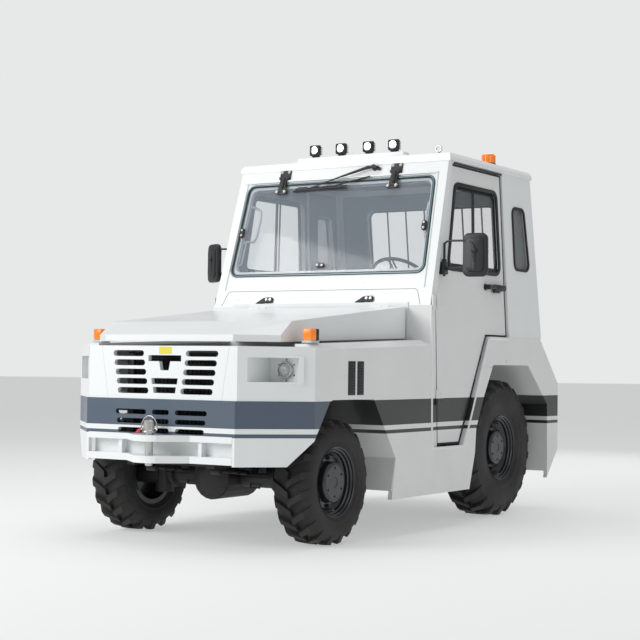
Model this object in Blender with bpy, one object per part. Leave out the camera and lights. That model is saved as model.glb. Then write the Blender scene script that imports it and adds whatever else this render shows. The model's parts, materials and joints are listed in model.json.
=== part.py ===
"""Cabbed four-wheel-drive airport tow tractor, at full size.

World frame: metres, +Z up, the front of the machine faces -Y and its left side is +X.
The origin is on the ground, midway along the machine and on its centreline.
Lengthwise stations are measured from the front axle or from the rear axle.
"""

import math

import bmesh
import bpy
from mathutils import Matrix, Vector

# ---------------------------------------------------------------- driving dimensions
WHEELBASE = 2.34
NOSE_OVERHANG = 0.87        # front axle to the foremost point of the front hitch
TAIL_OVERHANG = 0.91        # rear axle to the rearmost point of the rear hitch
BODY_WIDTH = 1.79
ROOF_TOP = 2.555
GAP = 0.0003                # between pieces that rest against each other
RUNNING = 0.012             # between a moving panel and what surrounds it

FRONT_TYRE_RADIUS = 0.383
FRONT_TYRE_WIDTH = 0.264
FRONT_RIM_RADIUS = 0.212
FRONT_WHEEL_OFFSET = 0.70   # centreline to the middle of the front tyre
REAR_TYRE_RADIUS = 0.498
REAR_TYRE_WIDTH = 0.308
REAR_RIM_RADIUS = 0.232
REAR_WHEEL_OFFSET = 0.66
HUB_CAP_RADIUS = 0.123
KINGPIN_OFFSET = 0.505
KINGPIN_BARREL = 0.060
STEERING_LOCK = math.radians(30)
TURN_STEPS = 32             # sides of a tyre or rim

# body shell
SKIN = 0.030                # thickness of the body panels
FRONT_FACE = 0.696          # front axle to the flat front face, forwards
FRONT_FLAT = 0.5565         # half width of the flat front face
CHAMFER_END = 0.388         # front axle to where the front chamfer meets the side
BUMPER_BOTTOM = 0.498
BUMPER_TOP = 0.8785
BUMPER_STEP = 0.018         # the bumper stands this far proud of the nose
NOSE_TOP = 1.197
SKIRT_BOTTOM = 0.245
SHOULDER_FRONT = 1.180      # top of the side panel at the nose
SHOULDER_REAR = 1.232       # and at the cab
SHOULDER_RISE = 0.035       # bevel from the side panel up to the hood seam
SHOULDER_IN = 0.075
REAR_BODY_END = 0.790       # rear axle to the tail plate
FENDER_TOP = 1.307
FENDER_SEAM = 1.100

# hood
HOOD_FLAT = 0.484           # half width of the hood's flat front
HOOD_FRONT_HALF = 0.690
HOOD_FACE = 0.638           # front axle to the flat front of the hood, forwards
HOOD_CORNER = 0.449         # and to the end of the hood's chamfer
HOOD_LIP = 0.040            # height of the upright edge around the front
HOOD_REAR_HALF = 0.708
HOOD_SEAM = 0.028           # dark gap under the hood
HOOD_CREASE = 0.333         # front axle to the crease, forwards
HOOD_CREASE_HEIGHT = 1.352
HOOD_CREASE_HALF = 0.6915
HOOD_REAR_HEIGHT = 1.488
HOOD_WALL = 0.025
HOOD_OPENING = 60.0
COWL_PROUD = 0.006          # the cowl stands this far ahead of the cab corner

# cab
CAB_FRONT = 1.040           # front axle to the upright corner of the cab
CAB_LEDGE = 1.500           # where the raked windshield frame starts
CAB_RAKE = 0.2966           # run of the windshield frame for each metre of height
CAB_WALL = 0.040
POST_DEPTH = 0.052          # the door post behind the upright corner
CAB_REAR_LOW = 0.480        # rear axle to the rear wall at the fender top
CAB_REAR_HIGH = 0.310       # and at the roof
BELT = 1.300                # above this the cab sides lean in
LEAN = 0.0264               # lean of the cab sides for each metre above the belt
ROOF_THICKNESS = 0.055
ROOF_LIP = 0.012
FLOOR_TOP = 0.600
FLOOR_THICKNESS = 0.040
FIREWALL = 0.030
DECK_TOP = 1.170            # raised floor over the rear wheels, under the seats

# windshield
GLASS_BOTTOM = 1.719
GLASS_TOP_DROP = 0.155      # roof top down to the top of the glass
GLASS_BOTTOM_HALF = 0.803
GLASS_TOP_HALF = 0.7765
GLASS_THICKNESS = 0.008
GLASS_CORNER = 0.060

# doors
DOOR_FACE = 0.868           # outer face below the belt
DOOR_LEAN = 0.0195
DOOR_THICKNESS = 0.040
DOOR_FRONT = 1.150
DOOR_FRONT_LOW = 1.195      # front axle to the lower front corner of the door
DOOR_PILLAR = 1.600          # above this the front edge follows the windshield pillar
DOOR_BOTTOM = 0.578
DOOR_TOP_DROP = 0.085
DOOR_REAR_LOW = -0.845      # rear axle to the lower rear corner of the door
DOOR_REAR_KNEE = -0.440     # and to where the slanted edge ends
DOOR_KNEE_HEIGHT = 1.322
DOOR_REAR = -0.105          # rear edge of the upper door at the knee
DOOR_REAR_TOP = -0.190
DOOR_SEAL = 0.016
CUT_MARGIN = 0.036          # body skin stands this far back from the door's lower edge
DOOR_OPENING = 75.0
DOOR_HINGE = 1.106           # front axle to the door hinge axis
HINGE_RADIUS = 0.011
HINGE_HEIGHTS = (1.520, 0.884)
WINDOW_BAND = 0.062
DOOR_WINDOW_LOW = 1.745
DOOR_WINDOW_DROP = 0.193     # roof top down to the top of the door window

# wheel arches
ARCH_TOP = 0.885
REAR_ARCH_TOP = 1.105
INNER_FRONT = 0.345         # half width of the front arch's inner wall
INNER_REAR = 0.455

# chassis
RAIL_OUTSIDE = 0.330
RAIL_WIDTH = 0.060
RAIL_BOTTOM = 0.470
RAIL_TOP = 0.555
REAR_RAIL_BOTTOM = 0.590
REAR_RAIL_TOP = 0.690

# ---------------------------------------------------------------- derived stations
# Lamps, grille, hitch and small fittings
POCKET_INNER = (0.600, 0.655)
POCKET_OUTER = (0.838, 0.440)
POCKET_BOTTOM = 0.990
POCKET_TOP = 1.132
POCKET_BACK = 0.420         # front axle to the back of the pocket, forwards
GRILLE_TOP_HALF = 0.4795
GRILLE_MIDDLE = 0.0205      # the grille panel sits a little off centre
PANEL_SEAM = 0.0015
GRILLE_BOTTOM_HALF = 0.428
SLOT_ROWS = 5
SLOT_PITCH = 0.056
SLOT_HEIGHT = 0.036
SLOT_TOP = 1.151            # middle of the top row of slots
SLOT_MIDDLE = 0.026
BUMPER_SLOT_MIDDLE = 0.0135
RECESS_HALF = 0.540
PLATE_TOP = 0.669
PLATE_SPACE_TOP = 0.632
PLATE_SPACE_BOTTOM = 0.548
HITCH_NOSE = 0.155          # radius of the rounded hitch nose
PIN_STATION = 0.800         # front axle to the tow pin, forwards
PIN_RADIUS = 0.0235
PIN_HOLE = 0.025
LAMP_RADIUS = 0.0515
HOOD_HINGE_OFFSET = 0.50
QUARTER_LOW = 1.808
QUARTER_HIGH = 2.268
QUARTER_FRONT = (0.018, -0.014)   # rear axle to the front edge, low and high
QUARTER_BACK = (0.276, 0.188)     # and to the back edge
COLUMN_RADIUS = 0.026
BUMPER_RETURN = 0.190       # front axle to the back of the bumper's side returns
SHELF_DEPTH = 0.130         # shelf on top of the nose, under the front of the hood
FRAME_STEP = 0.025          # the door frame strip is set in this far from the body side

OVERALL_LENGTH = NOSE_OVERHANG + WHEELBASE + TAIL_OVERHANG
FRONT_AXLE = -OVERALL_LENGTH / 2 + NOSE_OVERHANG
REAR_AXLE = FRONT_AXLE + WHEELBASE
HALF = BODY_WIDTH / 2
WINDSHIELD_TOP = ROOF_TOP - GLASS_TOP_DROP


def front(distance):
    """Station a distance behind the front axle."""
    return FRONT_AXLE + distance


def rear(distance):
    """Station a distance behind the rear axle."""
    return REAR_AXLE + distance


def cab_face(height):
    """Station of the raked windshield frame's outer face at a height."""
    return front(CAB_FRONT) + (height - CAB_LEDGE) * CAB_RAKE


def cab_side(height):
    """Half width of the cab's outer side at a height."""
    return HALF - 0.005 - max(0.0, height - BELT) * LEAN


def cab_rear(height):
    """Station of the cab's rear wall at a height."""
    share = (height - FENDER_TOP) / (ROOF_TOP - FENDER_TOP)
    return rear(CAB_REAR_LOW + (CAB_REAR_HIGH - CAB_REAR_LOW) * share)


DOOR_FACE_X = HALF - 0.895 + DOOR_FACE


def door_face(height):
    """Half width of the door's outer face at a height."""
    return DOOR_FACE_X - max(0.0, height - BELT) * DOOR_LEAN


def shoulder(station):
    """Height of the side panel's top edge at a station."""
    share = (station - front(-CHAMFER_END)) / (CAB_FRONT + CHAMFER_END)
    return SHOULDER_FRONT + (SHOULDER_REAR - SHOULDER_FRONT) * share


# ---------------------------------------------------------------- materials
PAINTS = {
    "white_paint": ((0.86, 0.88, 0.88), 0.25, 0.0),
    "black_paint": ((0.02, 0.021, 0.024), 0.45, 0.0),
    "rubber": ((0.018, 0.018, 0.019), 0.85, 0.0),
    "rim_paint": ((0.022, 0.026, 0.034), 0.35, 0.0),
    "steel": ((0.55, 0.55, 0.54), 0.35, 1.0),
    "glass": ((0.62, 0.72, 0.74), 0.04, 0.0),
    "amber": ((0.95, 0.32, 0.02), 0.15, 0.0),
    "lamp": ((0.80, 0.82, 0.83), 0.10, 0.0),
    "seat_cloth": ((0.05, 0.055, 0.065), 0.90, 0.0),
    "dark_plastic": ((0.035, 0.037, 0.042), 0.55, 0.0),
}


def material(name):
    """The named finish, made on first use."""
    found = bpy.data.materials.get(name)
    if found:
        return found
    colour, roughness, metallic = PAINTS[name]
    made = bpy.data.materials.new(name)
    made.use_nodes = True
    shader = made.node_tree.nodes["Principled BSDF"]
    shader.inputs["Base Color"].default_value = (*colour, 1.0)
    shader.inputs["Roughness"].default_value = roughness
    shader.inputs["Metallic"].default_value = metallic
    return made


# ---------------------------------------------------------------- modelling helpers
def finish_mesh(name, shape, finish="white_paint"):
    """Object made from a bmesh, with outward normals and one finish."""
    bmesh.ops.recalc_face_normals(shape, faces=shape.faces)
    mesh = bpy.data.meshes.new(name)
    shape.to_mesh(mesh)
    shape.free()
    thing = bpy.data.objects.new(name, mesh)
    bpy.context.scene.collection.objects.link(thing)
    mesh.materials.append(material(finish))
    return thing


def place(axis, along, first, second):
    """Point with one coordinate along an axis and the other two in order."""
    if axis == "X":
        return Vector((along, first, second))
    if axis == "Y":
        return Vector((first, along, second))
    return Vector((first, second, along))


def prism(name, axis, outline, low, high, finish="white_paint"):
    """Outline extruded along an axis, from low to high."""
    shape = bmesh.new()
    loop = [shape.verts.new(place(axis, low, a, b)) for a, b in outline]
    face = shape.faces.new(loop)
    made = bmesh.ops.extrude_face_region(shape, geom=[face])
    moved = [item for item in made["geom"] if isinstance(item, bmesh.types.BMVert)]
    bmesh.ops.translate(shape, verts=moved, vec=place(axis, high - low, 0.0, 0.0))
    return finish_mesh(name, shape, finish)


def box(name, low, high, finish="white_paint"):
    """Block between two opposite corners."""
    outline = [(low[1], low[2]), (high[1], low[2]), (high[1], high[2]), (low[1], high[2])]
    return prism(name, "X", outline, low[0], high[0], finish)


def hull(name, points, finish="white_paint"):
    """Smallest convex block around a set of points."""
    shape = bmesh.new()
    for point in points:
        shape.verts.new(point)
    made = bmesh.ops.convex_hull(shape, input=shape.verts)
    inside = [v for v in made["geom_interior"] if isinstance(v, bmesh.types.BMVert)]
    bmesh.ops.delete(shape, geom=inside, context="VERTS")
    bmesh.ops.dissolve_limit(
        shape, angle_limit=math.radians(0.1), verts=shape.verts, edges=shape.edges
    )
    return finish_mesh(name, shape, finish)


def turned(name, profile, centre, finish, steps=TURN_STEPS):
    """Ring turned about an axle line along X; the profile is (sideways, radius) pairs."""
    shape = bmesh.new()
    rings = []
    for step in range(steps):
        angle = 2 * math.pi * (step + 0.0) / steps - math.pi / 2
        rings.append(
            [
                shape.verts.new(
                    (
                        centre[0] + side,
                        centre[1] + radius * math.cos(angle),
                        centre[2] + radius * math.sin(angle),
                    )
                )
                for side, radius in profile
            ]
        )
    count = len(profile)
    for step in range(steps):
        here = rings[step]
        there = rings[(step + 1) % steps]
        for index in range(count):
            after = (index + 1) % count
            shape.faces.new((here[index], here[after], there[after], there[index]))
    thing = finish_mesh(name, shape, finish)
    thing.data.shade_smooth()
    thing.data.set_sharp_from_angle(angle=math.radians(35))
    return thing


def rod(name, start, end, radius, finish="black_paint", sides=12):
    """Round bar between two points."""
    shape = bmesh.new()
    start = Vector(start)
    run = Vector(end) - start
    turn = run.to_track_quat("Z", "Y").to_matrix().to_4x4()
    matrix = Matrix.Translation(start + run / 2) @ turn
    bmesh.ops.create_cone(
        shape, cap_ends=True, segments=sides, radius1=radius, radius2=radius,
        depth=run.length, matrix=matrix,
    )
    thing = finish_mesh(name, shape, finish)
    thing.data.shade_smooth()
    thing.data.set_sharp_from_angle(angle=math.radians(35))
    return thing


def boolean(target, tool, operation):
    """Applies an exact Boolean to the target and removes the tool."""
    step = target.modifiers.new(operation.lower(), "BOOLEAN")
    step.operation = operation
    step.solver = "EXACT"
    step.object = tool
    bpy.context.view_layer.update()
    seen = target.evaluated_get(bpy.context.evaluated_depsgraph_get())
    result = bpy.data.meshes.new_from_object(seen)
    target.modifiers.remove(step)
    old = target.data
    target.data = result
    bpy.data.meshes.remove(old)
    bpy.data.objects.remove(tool)


def join(target, *others):
    """Unites solids into the target."""
    for other in others:
        boolean(target, other, "UNION")
    return target


def cut(target, *tools):
    """Cuts tools out of the target."""
    for tool in tools:
        boolean(target, tool, "DIFFERENCE")
    return target


def mirrored(thing, name):
    """Copy of a left-hand piece on the right-hand side."""
    mesh = thing.data.copy()
    mesh.transform(Matrix.Scale(-1.0, 4, Vector((1, 0, 0))))
    mesh.flip_normals()
    copy = bpy.data.objects.new(name, mesh)
    bpy.context.scene.collection.objects.link(copy)
    return copy


def rounded(corners, radius, steps=3):
    """Outline with each corner replaced by an arc of the given radius."""
    points = []
    count = len(corners)
    for index in range(count):
        corner = Vector(corners[index])
        before = (Vector(corners[index - 1]) - corner).normalized()
        after = (Vector(corners[(index + 1) % count]) - corner).normalized()
        half = before.angle(after) / 2
        reach = radius / math.tan(half)
        centre = corner + (before + after).normalized() * radius / math.sin(half)
        first = corner + before * reach - centre
        sweep = math.pi - 2 * half
        side = 1 if first.x * (after.y - before.y) - first.y * (after.x - before.x) > 0 else -1
        for step in range(steps + 1):
            angle = side * sweep * step / steps
            turn = Matrix.Rotation(angle, 2)
            points.append(tuple(centre + turn @ first))
    return points


def lean(thing, base, slope):
    """Leans the part of a left-hand piece above a height towards the centreline."""
    shape = bmesh.new()
    shape.from_mesh(thing.data)
    bmesh.ops.bisect_plane(
        shape, geom=[*shape.verts, *shape.edges, *shape.faces],
        plane_co=(0, 0, base), plane_no=(0, 0, 1),
    )
    for vertex in shape.verts:
        vertex.co.x -= max(0.0, vertex.co.z - base) * slope
    shape.to_mesh(thing.data)
    shape.free()
    return thing


def onto_windshield(name, outline, outer, inner, finish="white_paint"):
    """Raked plate: an outline of (x, height) pairs between two depths behind the cab face."""
    shape = bmesh.new()
    near = [shape.verts.new((x, cab_face(z) + outer, z)) for x, z in outline]
    far = [shape.verts.new((x, cab_face(z) + inner, z)) for x, z in outline]
    shape.faces.new(near)
    shape.faces.new(far[::-1])
    count = len(outline)
    for index in range(count):
        after = (index + 1) % count
        shape.faces.new((near[after], near[index], far[index], far[after]))
    return finish_mesh(name, shape, finish)


# ---------------------------------------------------------------- chassis and axles
def rail_outline():
    """Side view of a rail: low under the engine and cab, then up over the rear axle."""
    start = front(-FRONT_FACE + 0.10)
    end = rear(REAR_BODY_END - SKIN) - GAP
    return [
        (start, RAIL_BOTTOM), (rear(-0.62), RAIL_BOTTOM), (rear(-0.40), REAR_RAIL_BOTTOM),
        (end, REAR_RAIL_BOTTOM), (end, REAR_RAIL_TOP), (rear(-0.44), REAR_RAIL_TOP),
        (rear(-0.64), RAIL_TOP), (start, RAIL_TOP),
    ]


def build_chassis():
    """Two rails tied by cross members, narrow enough for the steered wheels."""
    outline = rail_outline()
    frame = prism("chassis_frame", "X", outline, RAIL_OUTSIDE - RAIL_WIDTH, RAIL_OUTSIDE,
                  "black_paint")
    members = [prism("rail", "X", outline, -RAIL_OUTSIDE, RAIL_WIDTH - RAIL_OUTSIDE, "black_paint")]
    half = RAIL_OUTSIDE - 0.01
    for station in (outline[0][0] + 0.02, front(-0.32), front(0.55), front(1.15)):
        members.append(box("member", (-half, station, RAIL_BOTTOM + 0.01),
                           (half, station + 0.08, RAIL_TOP - 0.01), "black_paint"))
    for station in (rear(-0.36), rear(0.30), outline[3][0] - 0.09):
        members.append(box("member", (-half, station, REAR_RAIL_BOTTOM + 0.01),
                           (half, station + 0.08, REAR_RAIL_TOP - 0.01), "black_paint"))
    return join(frame, *members)


def build_engine():
    """Engine and transmission as one plain block, on the rails."""
    return box("engine_block", (-0.27, front(-0.30), RAIL_TOP + GAP),
               (0.27, front(0.92), 1.150), "black_paint")


def build_radiator():
    """Radiator core behind the grille, standing on the rails."""
    return box("radiator", (-0.36, front(-FRONT_FACE + 0.14), RAIL_TOP + GAP),
               (0.36, front(-FRONT_FACE + 0.24), 1.160), "black_paint")


def build_axle(name, station, height, reach, tube, cover, seat):
    """Axle beam with a round differential housing and spring pads under the rails."""
    beam = rod(name, (-reach, station, height), (reach, station, height), tube, "black_paint", 16)
    housing = rod("housing", (0, station - cover, height), (0, station + cover, height),
                  cover * 0.82, "black_paint", 20)
    pads = []
    for side in (-1, 1):
        middle = side * (RAIL_OUTSIDE - RAIL_WIDTH / 2)
        pads.append(box("pad", (middle - 0.028, station - 0.05, height),
                        (middle + 0.028, station + 0.05, seat - GAP), "black_paint"))
    return join(beam, housing, *pads)


# ---------------------------------------------------------------- wheels
def tyre_profile(width, outer, rim, side):
    """Section of a solid tyre ring, sideways and radius, clear of its rim."""
    half = width / 2
    inner = rim + GAP
    shoulder_drop = 0.16 * (outer - rim)
    return [
        (-half * 0.78 * side, inner), (half * 0.78 * side, inner),
        (half * 0.97 * side, inner + 0.22 * (outer - rim)), (half * side, outer - 2.2 * shoulder_drop),
        (half * 0.93 * side, outer - 0.55 * shoulder_drop), (half * 0.80 * side, outer),
        (-half * 0.80 * side, outer), (-half * 0.93 * side, outer - 0.55 * shoulder_drop),
        (-half * side, outer - 2.2 * shoulder_drop), (-half * 0.97 * side, inner + 0.22 * (outer - rim)),
    ]


def rim_profile(width, rim, hub, dish, hub_face, side):
    """Section of a rim and its dished disc with the hub cap, open at no bore."""
    half = width / 2 * 0.78
    bead = 0.022
    barrel = rim - 0.030
    return [
        (-half * side, rim), (half * side, rim), (half * side, barrel),
        (dish * side, barrel - 0.012), (dish * 0.80 * side, hub + 0.004),
        (hub_face * side, hub), ((hub_face - 0.0) * side, 0.0 + 0.012),
        ((dish - 0.045) * side, 0.012), ((dish - 0.045) * side, hub + bead),
        ((dish - 0.045) * side, barrel - 0.014), (-half * side, barrel),
    ]


def build_wheel(corner, side, offset, station, radius, width, rim):
    """Rim with its hub cap, and its tyre, at one corner."""
    centre = (side * offset, station, radius)
    hub_face = 0.100 if corner.startswith("front") else 0.101
    dish = 0.045
    wheel = turned(f"wheel_{corner}", rim_profile(width, rim, HUB_CAP_RADIUS, dish, hub_face, side),
                   centre, "rim_paint")
    plug_low = (dish - 0.044) * side
    plug = rod("plug", (centre[0] + plug_low, station, radius),
               (centre[0] + (hub_face - 0.001) * side, station, radius), 0.030, "rim_paint", 16)
    wheel = join(wheel, plug)
    tyre = turned(f"tyre_{corner}", tyre_profile(width, radius, rim, side), centre, "rubber")
    return wheel, tyre


def build_knuckle(name, side):
    """Steering knuckle: the kingpin barrel and the stub that carries the wheel."""
    height = FRONT_TYRE_RADIUS
    pin = side * KINGPIN_OFFSET
    barrel = rod(name, (pin, FRONT_AXLE, height - 0.125), (pin, FRONT_AXLE, height + 0.125),
                 KINGPIN_BARREL, "black_paint", 16)
    stub_end = side * (FRONT_WHEEL_OFFSET - GAP)
    stub = rod("stub", (pin, FRONT_AXLE, height), (stub_end, FRONT_AXLE, height), 0.075,
               "black_paint", 16)
    arm = box("arm", (min(pin, pin - side * 0.02) - 0.015, FRONT_AXLE + 0.03, height - 0.10),
              (max(pin, pin - side * 0.02) + 0.015, FRONT_AXLE + 0.16, height - 0.07),
              "black_paint")
    return join(barrel, stub, arm)


# ---------------------------------------------------------------- front end
def nose_outline(proud, wall):
    """Plan of a band that wraps the front face and both chamfers."""
    face = front(-FRONT_FACE) - proud
    end = front(-CHAMFER_END)
    outer = [(-HALF, end), (-FRONT_FLAT, face), (FRONT_FLAT, face), (HALF, end)]
    slope = math.hypot(HALF - FRONT_FLAT, FRONT_FACE - CHAMFER_END)
    inside = wall * math.tan(math.atan2(FRONT_FACE - CHAMFER_END, HALF - FRONT_FLAT) / 2)
    drop = wall * slope / (FRONT_FACE - CHAMFER_END)
    inner = [(HALF - drop, end), (FRONT_FLAT - inside, face + wall),
             (-FRONT_FLAT + inside, face + wall), (-HALF + drop, end)]
    return outer + inner


def bumper_outline():
    """Plan of the bumper: the band with short returns along both sides."""
    band = nose_outline(BUMPER_STEP, SKIN)
    end = front(-CHAMFER_END)
    back = front(-BUMPER_RETURN)
    extra = (HALF - SKIN - band[4][0]) * (FRONT_FACE - CHAMFER_END) / (HALF - FRONT_FLAT)
    turn = end + extra
    return [(-HALF, back), *band[:4], (HALF, back), (HALF - SKIN, back), (HALF - SKIN, turn),
            *band[5:7], (-HALF + SKIN, turn), (-HALF + SKIN, back)]


def shelf_outline():
    """Plan of the shelf on top of the nose, a little inside the nose's outer face."""
    inset = 0.004
    end = front(-CHAMFER_END) - 0.003
    return [(max(-HALF + 3 * inset, min(HALF - 3 * inset, across)), min(along, end))
            for across, along in nose_outline(-inset, SHELF_DEPTH)]


def build_nose():
    """Upper front panel with its chamfers, lamp pockets and the grille opening."""
    wall = SKIN
    nose = prism("nose_panel", "Z", nose_outline(0.0, wall), BUMPER_TOP + GAP, NOSE_TOP)
    join(nose, prism("shelf", "Z", shelf_outline(), NOSE_TOP - 0.014, NOSE_TOP - 0.002))
    back = front(-FRONT_FACE) + wall + GAP
    cut(nose, prism("hole", "Y", grille_outline(0.0, NOSE_TOP + 0.01), front(-FRONT_FACE) - 0.1, back))
    for side in (-1, 1):
        pocket = hull("pocket", pocket_points(side, 0.0))
        cavity = hull("cavity", pocket_points(side, 0.012))
        join(nose, cavity)
        cut(nose, pocket)
    return nose


def pocket_points(side, wall):
    """Corners of a headlamp pocket, or of its shell when a wall is given."""
    points = []
    proud = 0.0 if wall else 0.05
    for height in (POCKET_BOTTOM - wall, POCKET_TOP + wall):
        points.append((side * (POCKET_INNER[0] - wall), front(-POCKET_INNER[1]) - proud, height))
        points.append((side * (POCKET_OUTER[0] + wall), front(-POCKET_OUTER[1]) - proud, height))
        points.append((side * (POCKET_INNER[0] - wall), front(-POCKET_BACK) + wall, height))
        points.append((side * (POCKET_OUTER[0] - 0.028 + wall), front(-POCKET_BACK) + wall, height))
    return points


def grille_outline(clearance, top):
    """Trapezoid of the grille panel in the front face, up to a height."""
    low = BUMPER_TOP + GAP
    spread = (GRILLE_TOP_HALF - GRILLE_BOTTOM_HALF) / (NOSE_TOP - low)
    bottom_half = GRILLE_BOTTOM_HALF - clearance
    top_half = bottom_half + spread * (top - low)
    middle = GRILLE_MIDDLE
    return [(middle - bottom_half, low), (middle + bottom_half, low), (middle + top_half, top),
            (middle - top_half, top)]


def slot_outline(left, right, middle, height):
    """Slot with round ends."""
    radius = height / 2
    points = []
    for step in range(7):
        angle = -math.pi / 2 + math.pi * step / 6
        points.append((right - radius + radius * math.cos(angle), middle + radius * math.sin(angle)))
    for step in range(7):
        angle = math.pi / 2 + math.pi * step / 6
        points.append((left + radius + radius * math.cos(angle), middle + radius * math.sin(angle)))
    return points


def shifted(outline, amount):
    """Outline moved sideways."""
    return [(across + amount, height) for across, height in outline]


def slot(left, right, middle, height):
    """Cutter for one slot through the front face."""
    station = front(-FRONT_FACE)
    return prism("slot", "Y", slot_outline(left, right, middle, height), station - 0.1, station + 0.1)


def build_grille():
    """Flat grille panel with its rows of slots."""
    panel = prism("grille_panel", "Y", grille_outline(PANEL_SEAM, NOSE_TOP),
                  front(-FRONT_FACE), front(-FRONT_FACE) + SKIN)
    tools = []
    for row in range(SLOT_ROWS):
        middle = SLOT_TOP - row * SLOT_PITCH
        shift = 0.0095 * row
        for side in (-1, 1):
            ends = sorted((side * (0.158 - shift), side * (0.395 - shift)))
            tools.append(slot(SLOT_MIDDLE + ends[0], SLOT_MIDDLE + ends[1], middle, SLOT_HEIGHT))
    station = front(-FRONT_FACE)
    tee = [(-0.123, 1.104), (-0.042, 1.104), (-0.030, 1.050), (0.030, 1.050), (0.042, 1.104),
           (0.123, 1.104), (0.123, 1.140), (-0.123, 1.140)]
    tools.append(prism("tee", "Y", shifted(tee, SLOT_MIDDLE), station - 0.1, station + 0.1))
    for middle, half in ((0.985, 0.100), (0.932, 0.087)):
        low = middle - SLOT_HEIGHT / 2
        high = middle + SLOT_HEIGHT / 2
        outline = [(-half + 0.006, low), (half - 0.006, low), (half, high), (-half, high)]
        tools.append(prism("mid", "Y", shifted(outline, SLOT_MIDDLE), station - 0.1, station + 0.1))
    return cut(panel, *tools)


def build_bumper():
    """Lower front section: front, chamfers, slots and the recess for the tow hitch."""
    bumper = prism("front_bumper", "Z", bumper_outline(), BUMPER_BOTTOM, BUMPER_TOP)
    station = front(-FRONT_FACE)
    tools = [box("recess", (-RECESS_HALF, station - 0.1, BUMPER_BOTTOM - 0.1),
                 (RECESS_HALF, station + 0.1, PLATE_TOP + GAP))]
    for row, ends in enumerate(((0.1085, 0.343), (0.1095, 0.333), (0.1105, 0.323))):
        middle = 0.800 - 0.055 * row
        for side in (-1, 1):
            low, high = sorted((side * ends[0], side * ends[1]))
            tools.append(slot(BUMPER_SLOT_MIDDLE + low, BUMPER_SLOT_MIDDLE + high, middle, 0.030))
        tools.append(slot(BUMPER_SLOT_MIDDLE - 0.0635, BUMPER_SLOT_MIDDLE + 0.0635, middle, 0.030))
    corner = [(front(-0.507), BUMPER_BOTTOM - 0.01), (front(-0.330), 0.725), (front(-0.2), 0.9),
              (front(0.0), BUMPER_BOTTOM - 0.01)]
    tools.append(prism("corner", "X", corner, -HALF - 0.1, HALF + 0.1))
    return cut(bumper, *tools)


def hitch_plate(name, low, high):
    """Wide plate with a rounded nose and the pin hole."""
    back = front(-FRONT_FACE) + 0.060
    face = front(-FRONT_FACE) - 0.020
    nose = NOSE_OVERHANG - PIN_STATION
    points = [(-RECESS_HALF + GAP * 2, back), (-RECESS_HALF + GAP * 2, face), (-0.235, face)]
    for step in range(9):
        angle = math.pi * (1.14 + 0.72 * step / 8)
        points.append((0.115 * math.cos(angle),
                       front(-PIN_STATION) + nose * math.sin(angle) / 1.0))
    points += [(0.235, face), (RECESS_HALF - GAP * 2, face), (RECESS_HALF - GAP * 2, back)]
    plate = prism(name, "Z", points, low, high)
    hole = rod("hole", (0, front(-PIN_STATION), low - 0.02), (0, front(-PIN_STATION), high + 0.02),
               PIN_HOLE, sides=20)
    return cut(plate, hole)


def build_front_hitch():
    """Two hitch plates on a back wall."""
    upper = hitch_plate("front_hitch", PLATE_SPACE_TOP, PLATE_TOP)
    lower = hitch_plate("lower", BUMPER_BOTTOM + 0.008, PLATE_SPACE_BOTTOM)
    station = front(-FRONT_FACE)
    wall = box("wall", (-RECESS_HALF + 2 * GAP, station + 0.045, BUMPER_BOTTOM + 0.012),
               (RECESS_HALF - 2 * GAP, station + 0.0997, PLATE_TOP - 0.002))
    ribs = [box("rib", (side * 0.30 - 0.012, station - 0.005, PLATE_SPACE_BOTTOM - 0.01),
                (side * 0.30 + 0.012, station + 0.06, PLATE_SPACE_TOP + 0.01)) for side in (-1, 1)]
    return join(upper, wall, lower, *ribs)


def build_tow_pin():
    """Tow pin through both plates, with its head and pull ring."""
    station = front(-PIN_STATION)
    pin = rod("front_tow_pin", (0, station, BUMPER_BOTTOM - 0.012), (0, station, PLATE_TOP + 0.05),
              PIN_RADIUS, "steel", 20)
    head = rod("head", (0, station, PLATE_TOP + GAP), (0, station, PLATE_TOP + 0.042), 0.031,
               "steel", 20)
    shape = bmesh.new()
    sides = 8
    steps = 20
    radius = 0.060
    bar = 0.0055
    middle = PLATE_TOP + 0.060
    rings = []
    for step in range(steps):
        turn = 2 * math.pi * step / steps
        ring = []
        for corner in range(sides):
            tilt = 2 * math.pi * corner / sides
            reach = radius + bar * math.cos(tilt)
            ring.append(shape.verts.new((reach * math.cos(turn), station + bar * math.sin(tilt),
                                         middle + reach * math.sin(turn) * 0.85)))
        rings.append(ring)
    for step in range(steps):
        for corner in range(sides):
            shape.faces.new((rings[step][corner], rings[step][(corner + 1) % sides],
                             rings[(step + 1) % steps][(corner + 1) % sides],
                             rings[(step + 1) % steps][corner]))
    ring = finish_mesh("ring", shape, "steel")
    return join(pin, head, ring)


def build_headlamp():
    """Left headlamp, standing on the back of its pocket."""
    centre = (0.716, 1.061)
    back = front(-POCKET_BACK) - GAP
    lamp = rod("headlamp_left", (centre[0], back, centre[1]), (centre[0], back - 0.030, centre[1]),
               LAMP_RADIUS, "lamp", 24)
    lens = rod("lens", (centre[0], back - 0.029, centre[1]), (centre[0], back - 0.042, centre[1]),
               LAMP_RADIUS * 0.8, "lamp", 24)
    return join(lamp, lens)


def build_turn_signal():
    """Left turn signal on the shoulder of the side panel."""
    middle = front(-0.30)
    base = shoulder(middle + 0.047) + SHOULDER_RISE
    left = HALF - SHOULDER_IN - 0.052
    return box("turn_signal_left", (left, middle - 0.045, base + GAP),
               (left + 0.070, middle + 0.047, base + 0.088), "amber")


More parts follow.
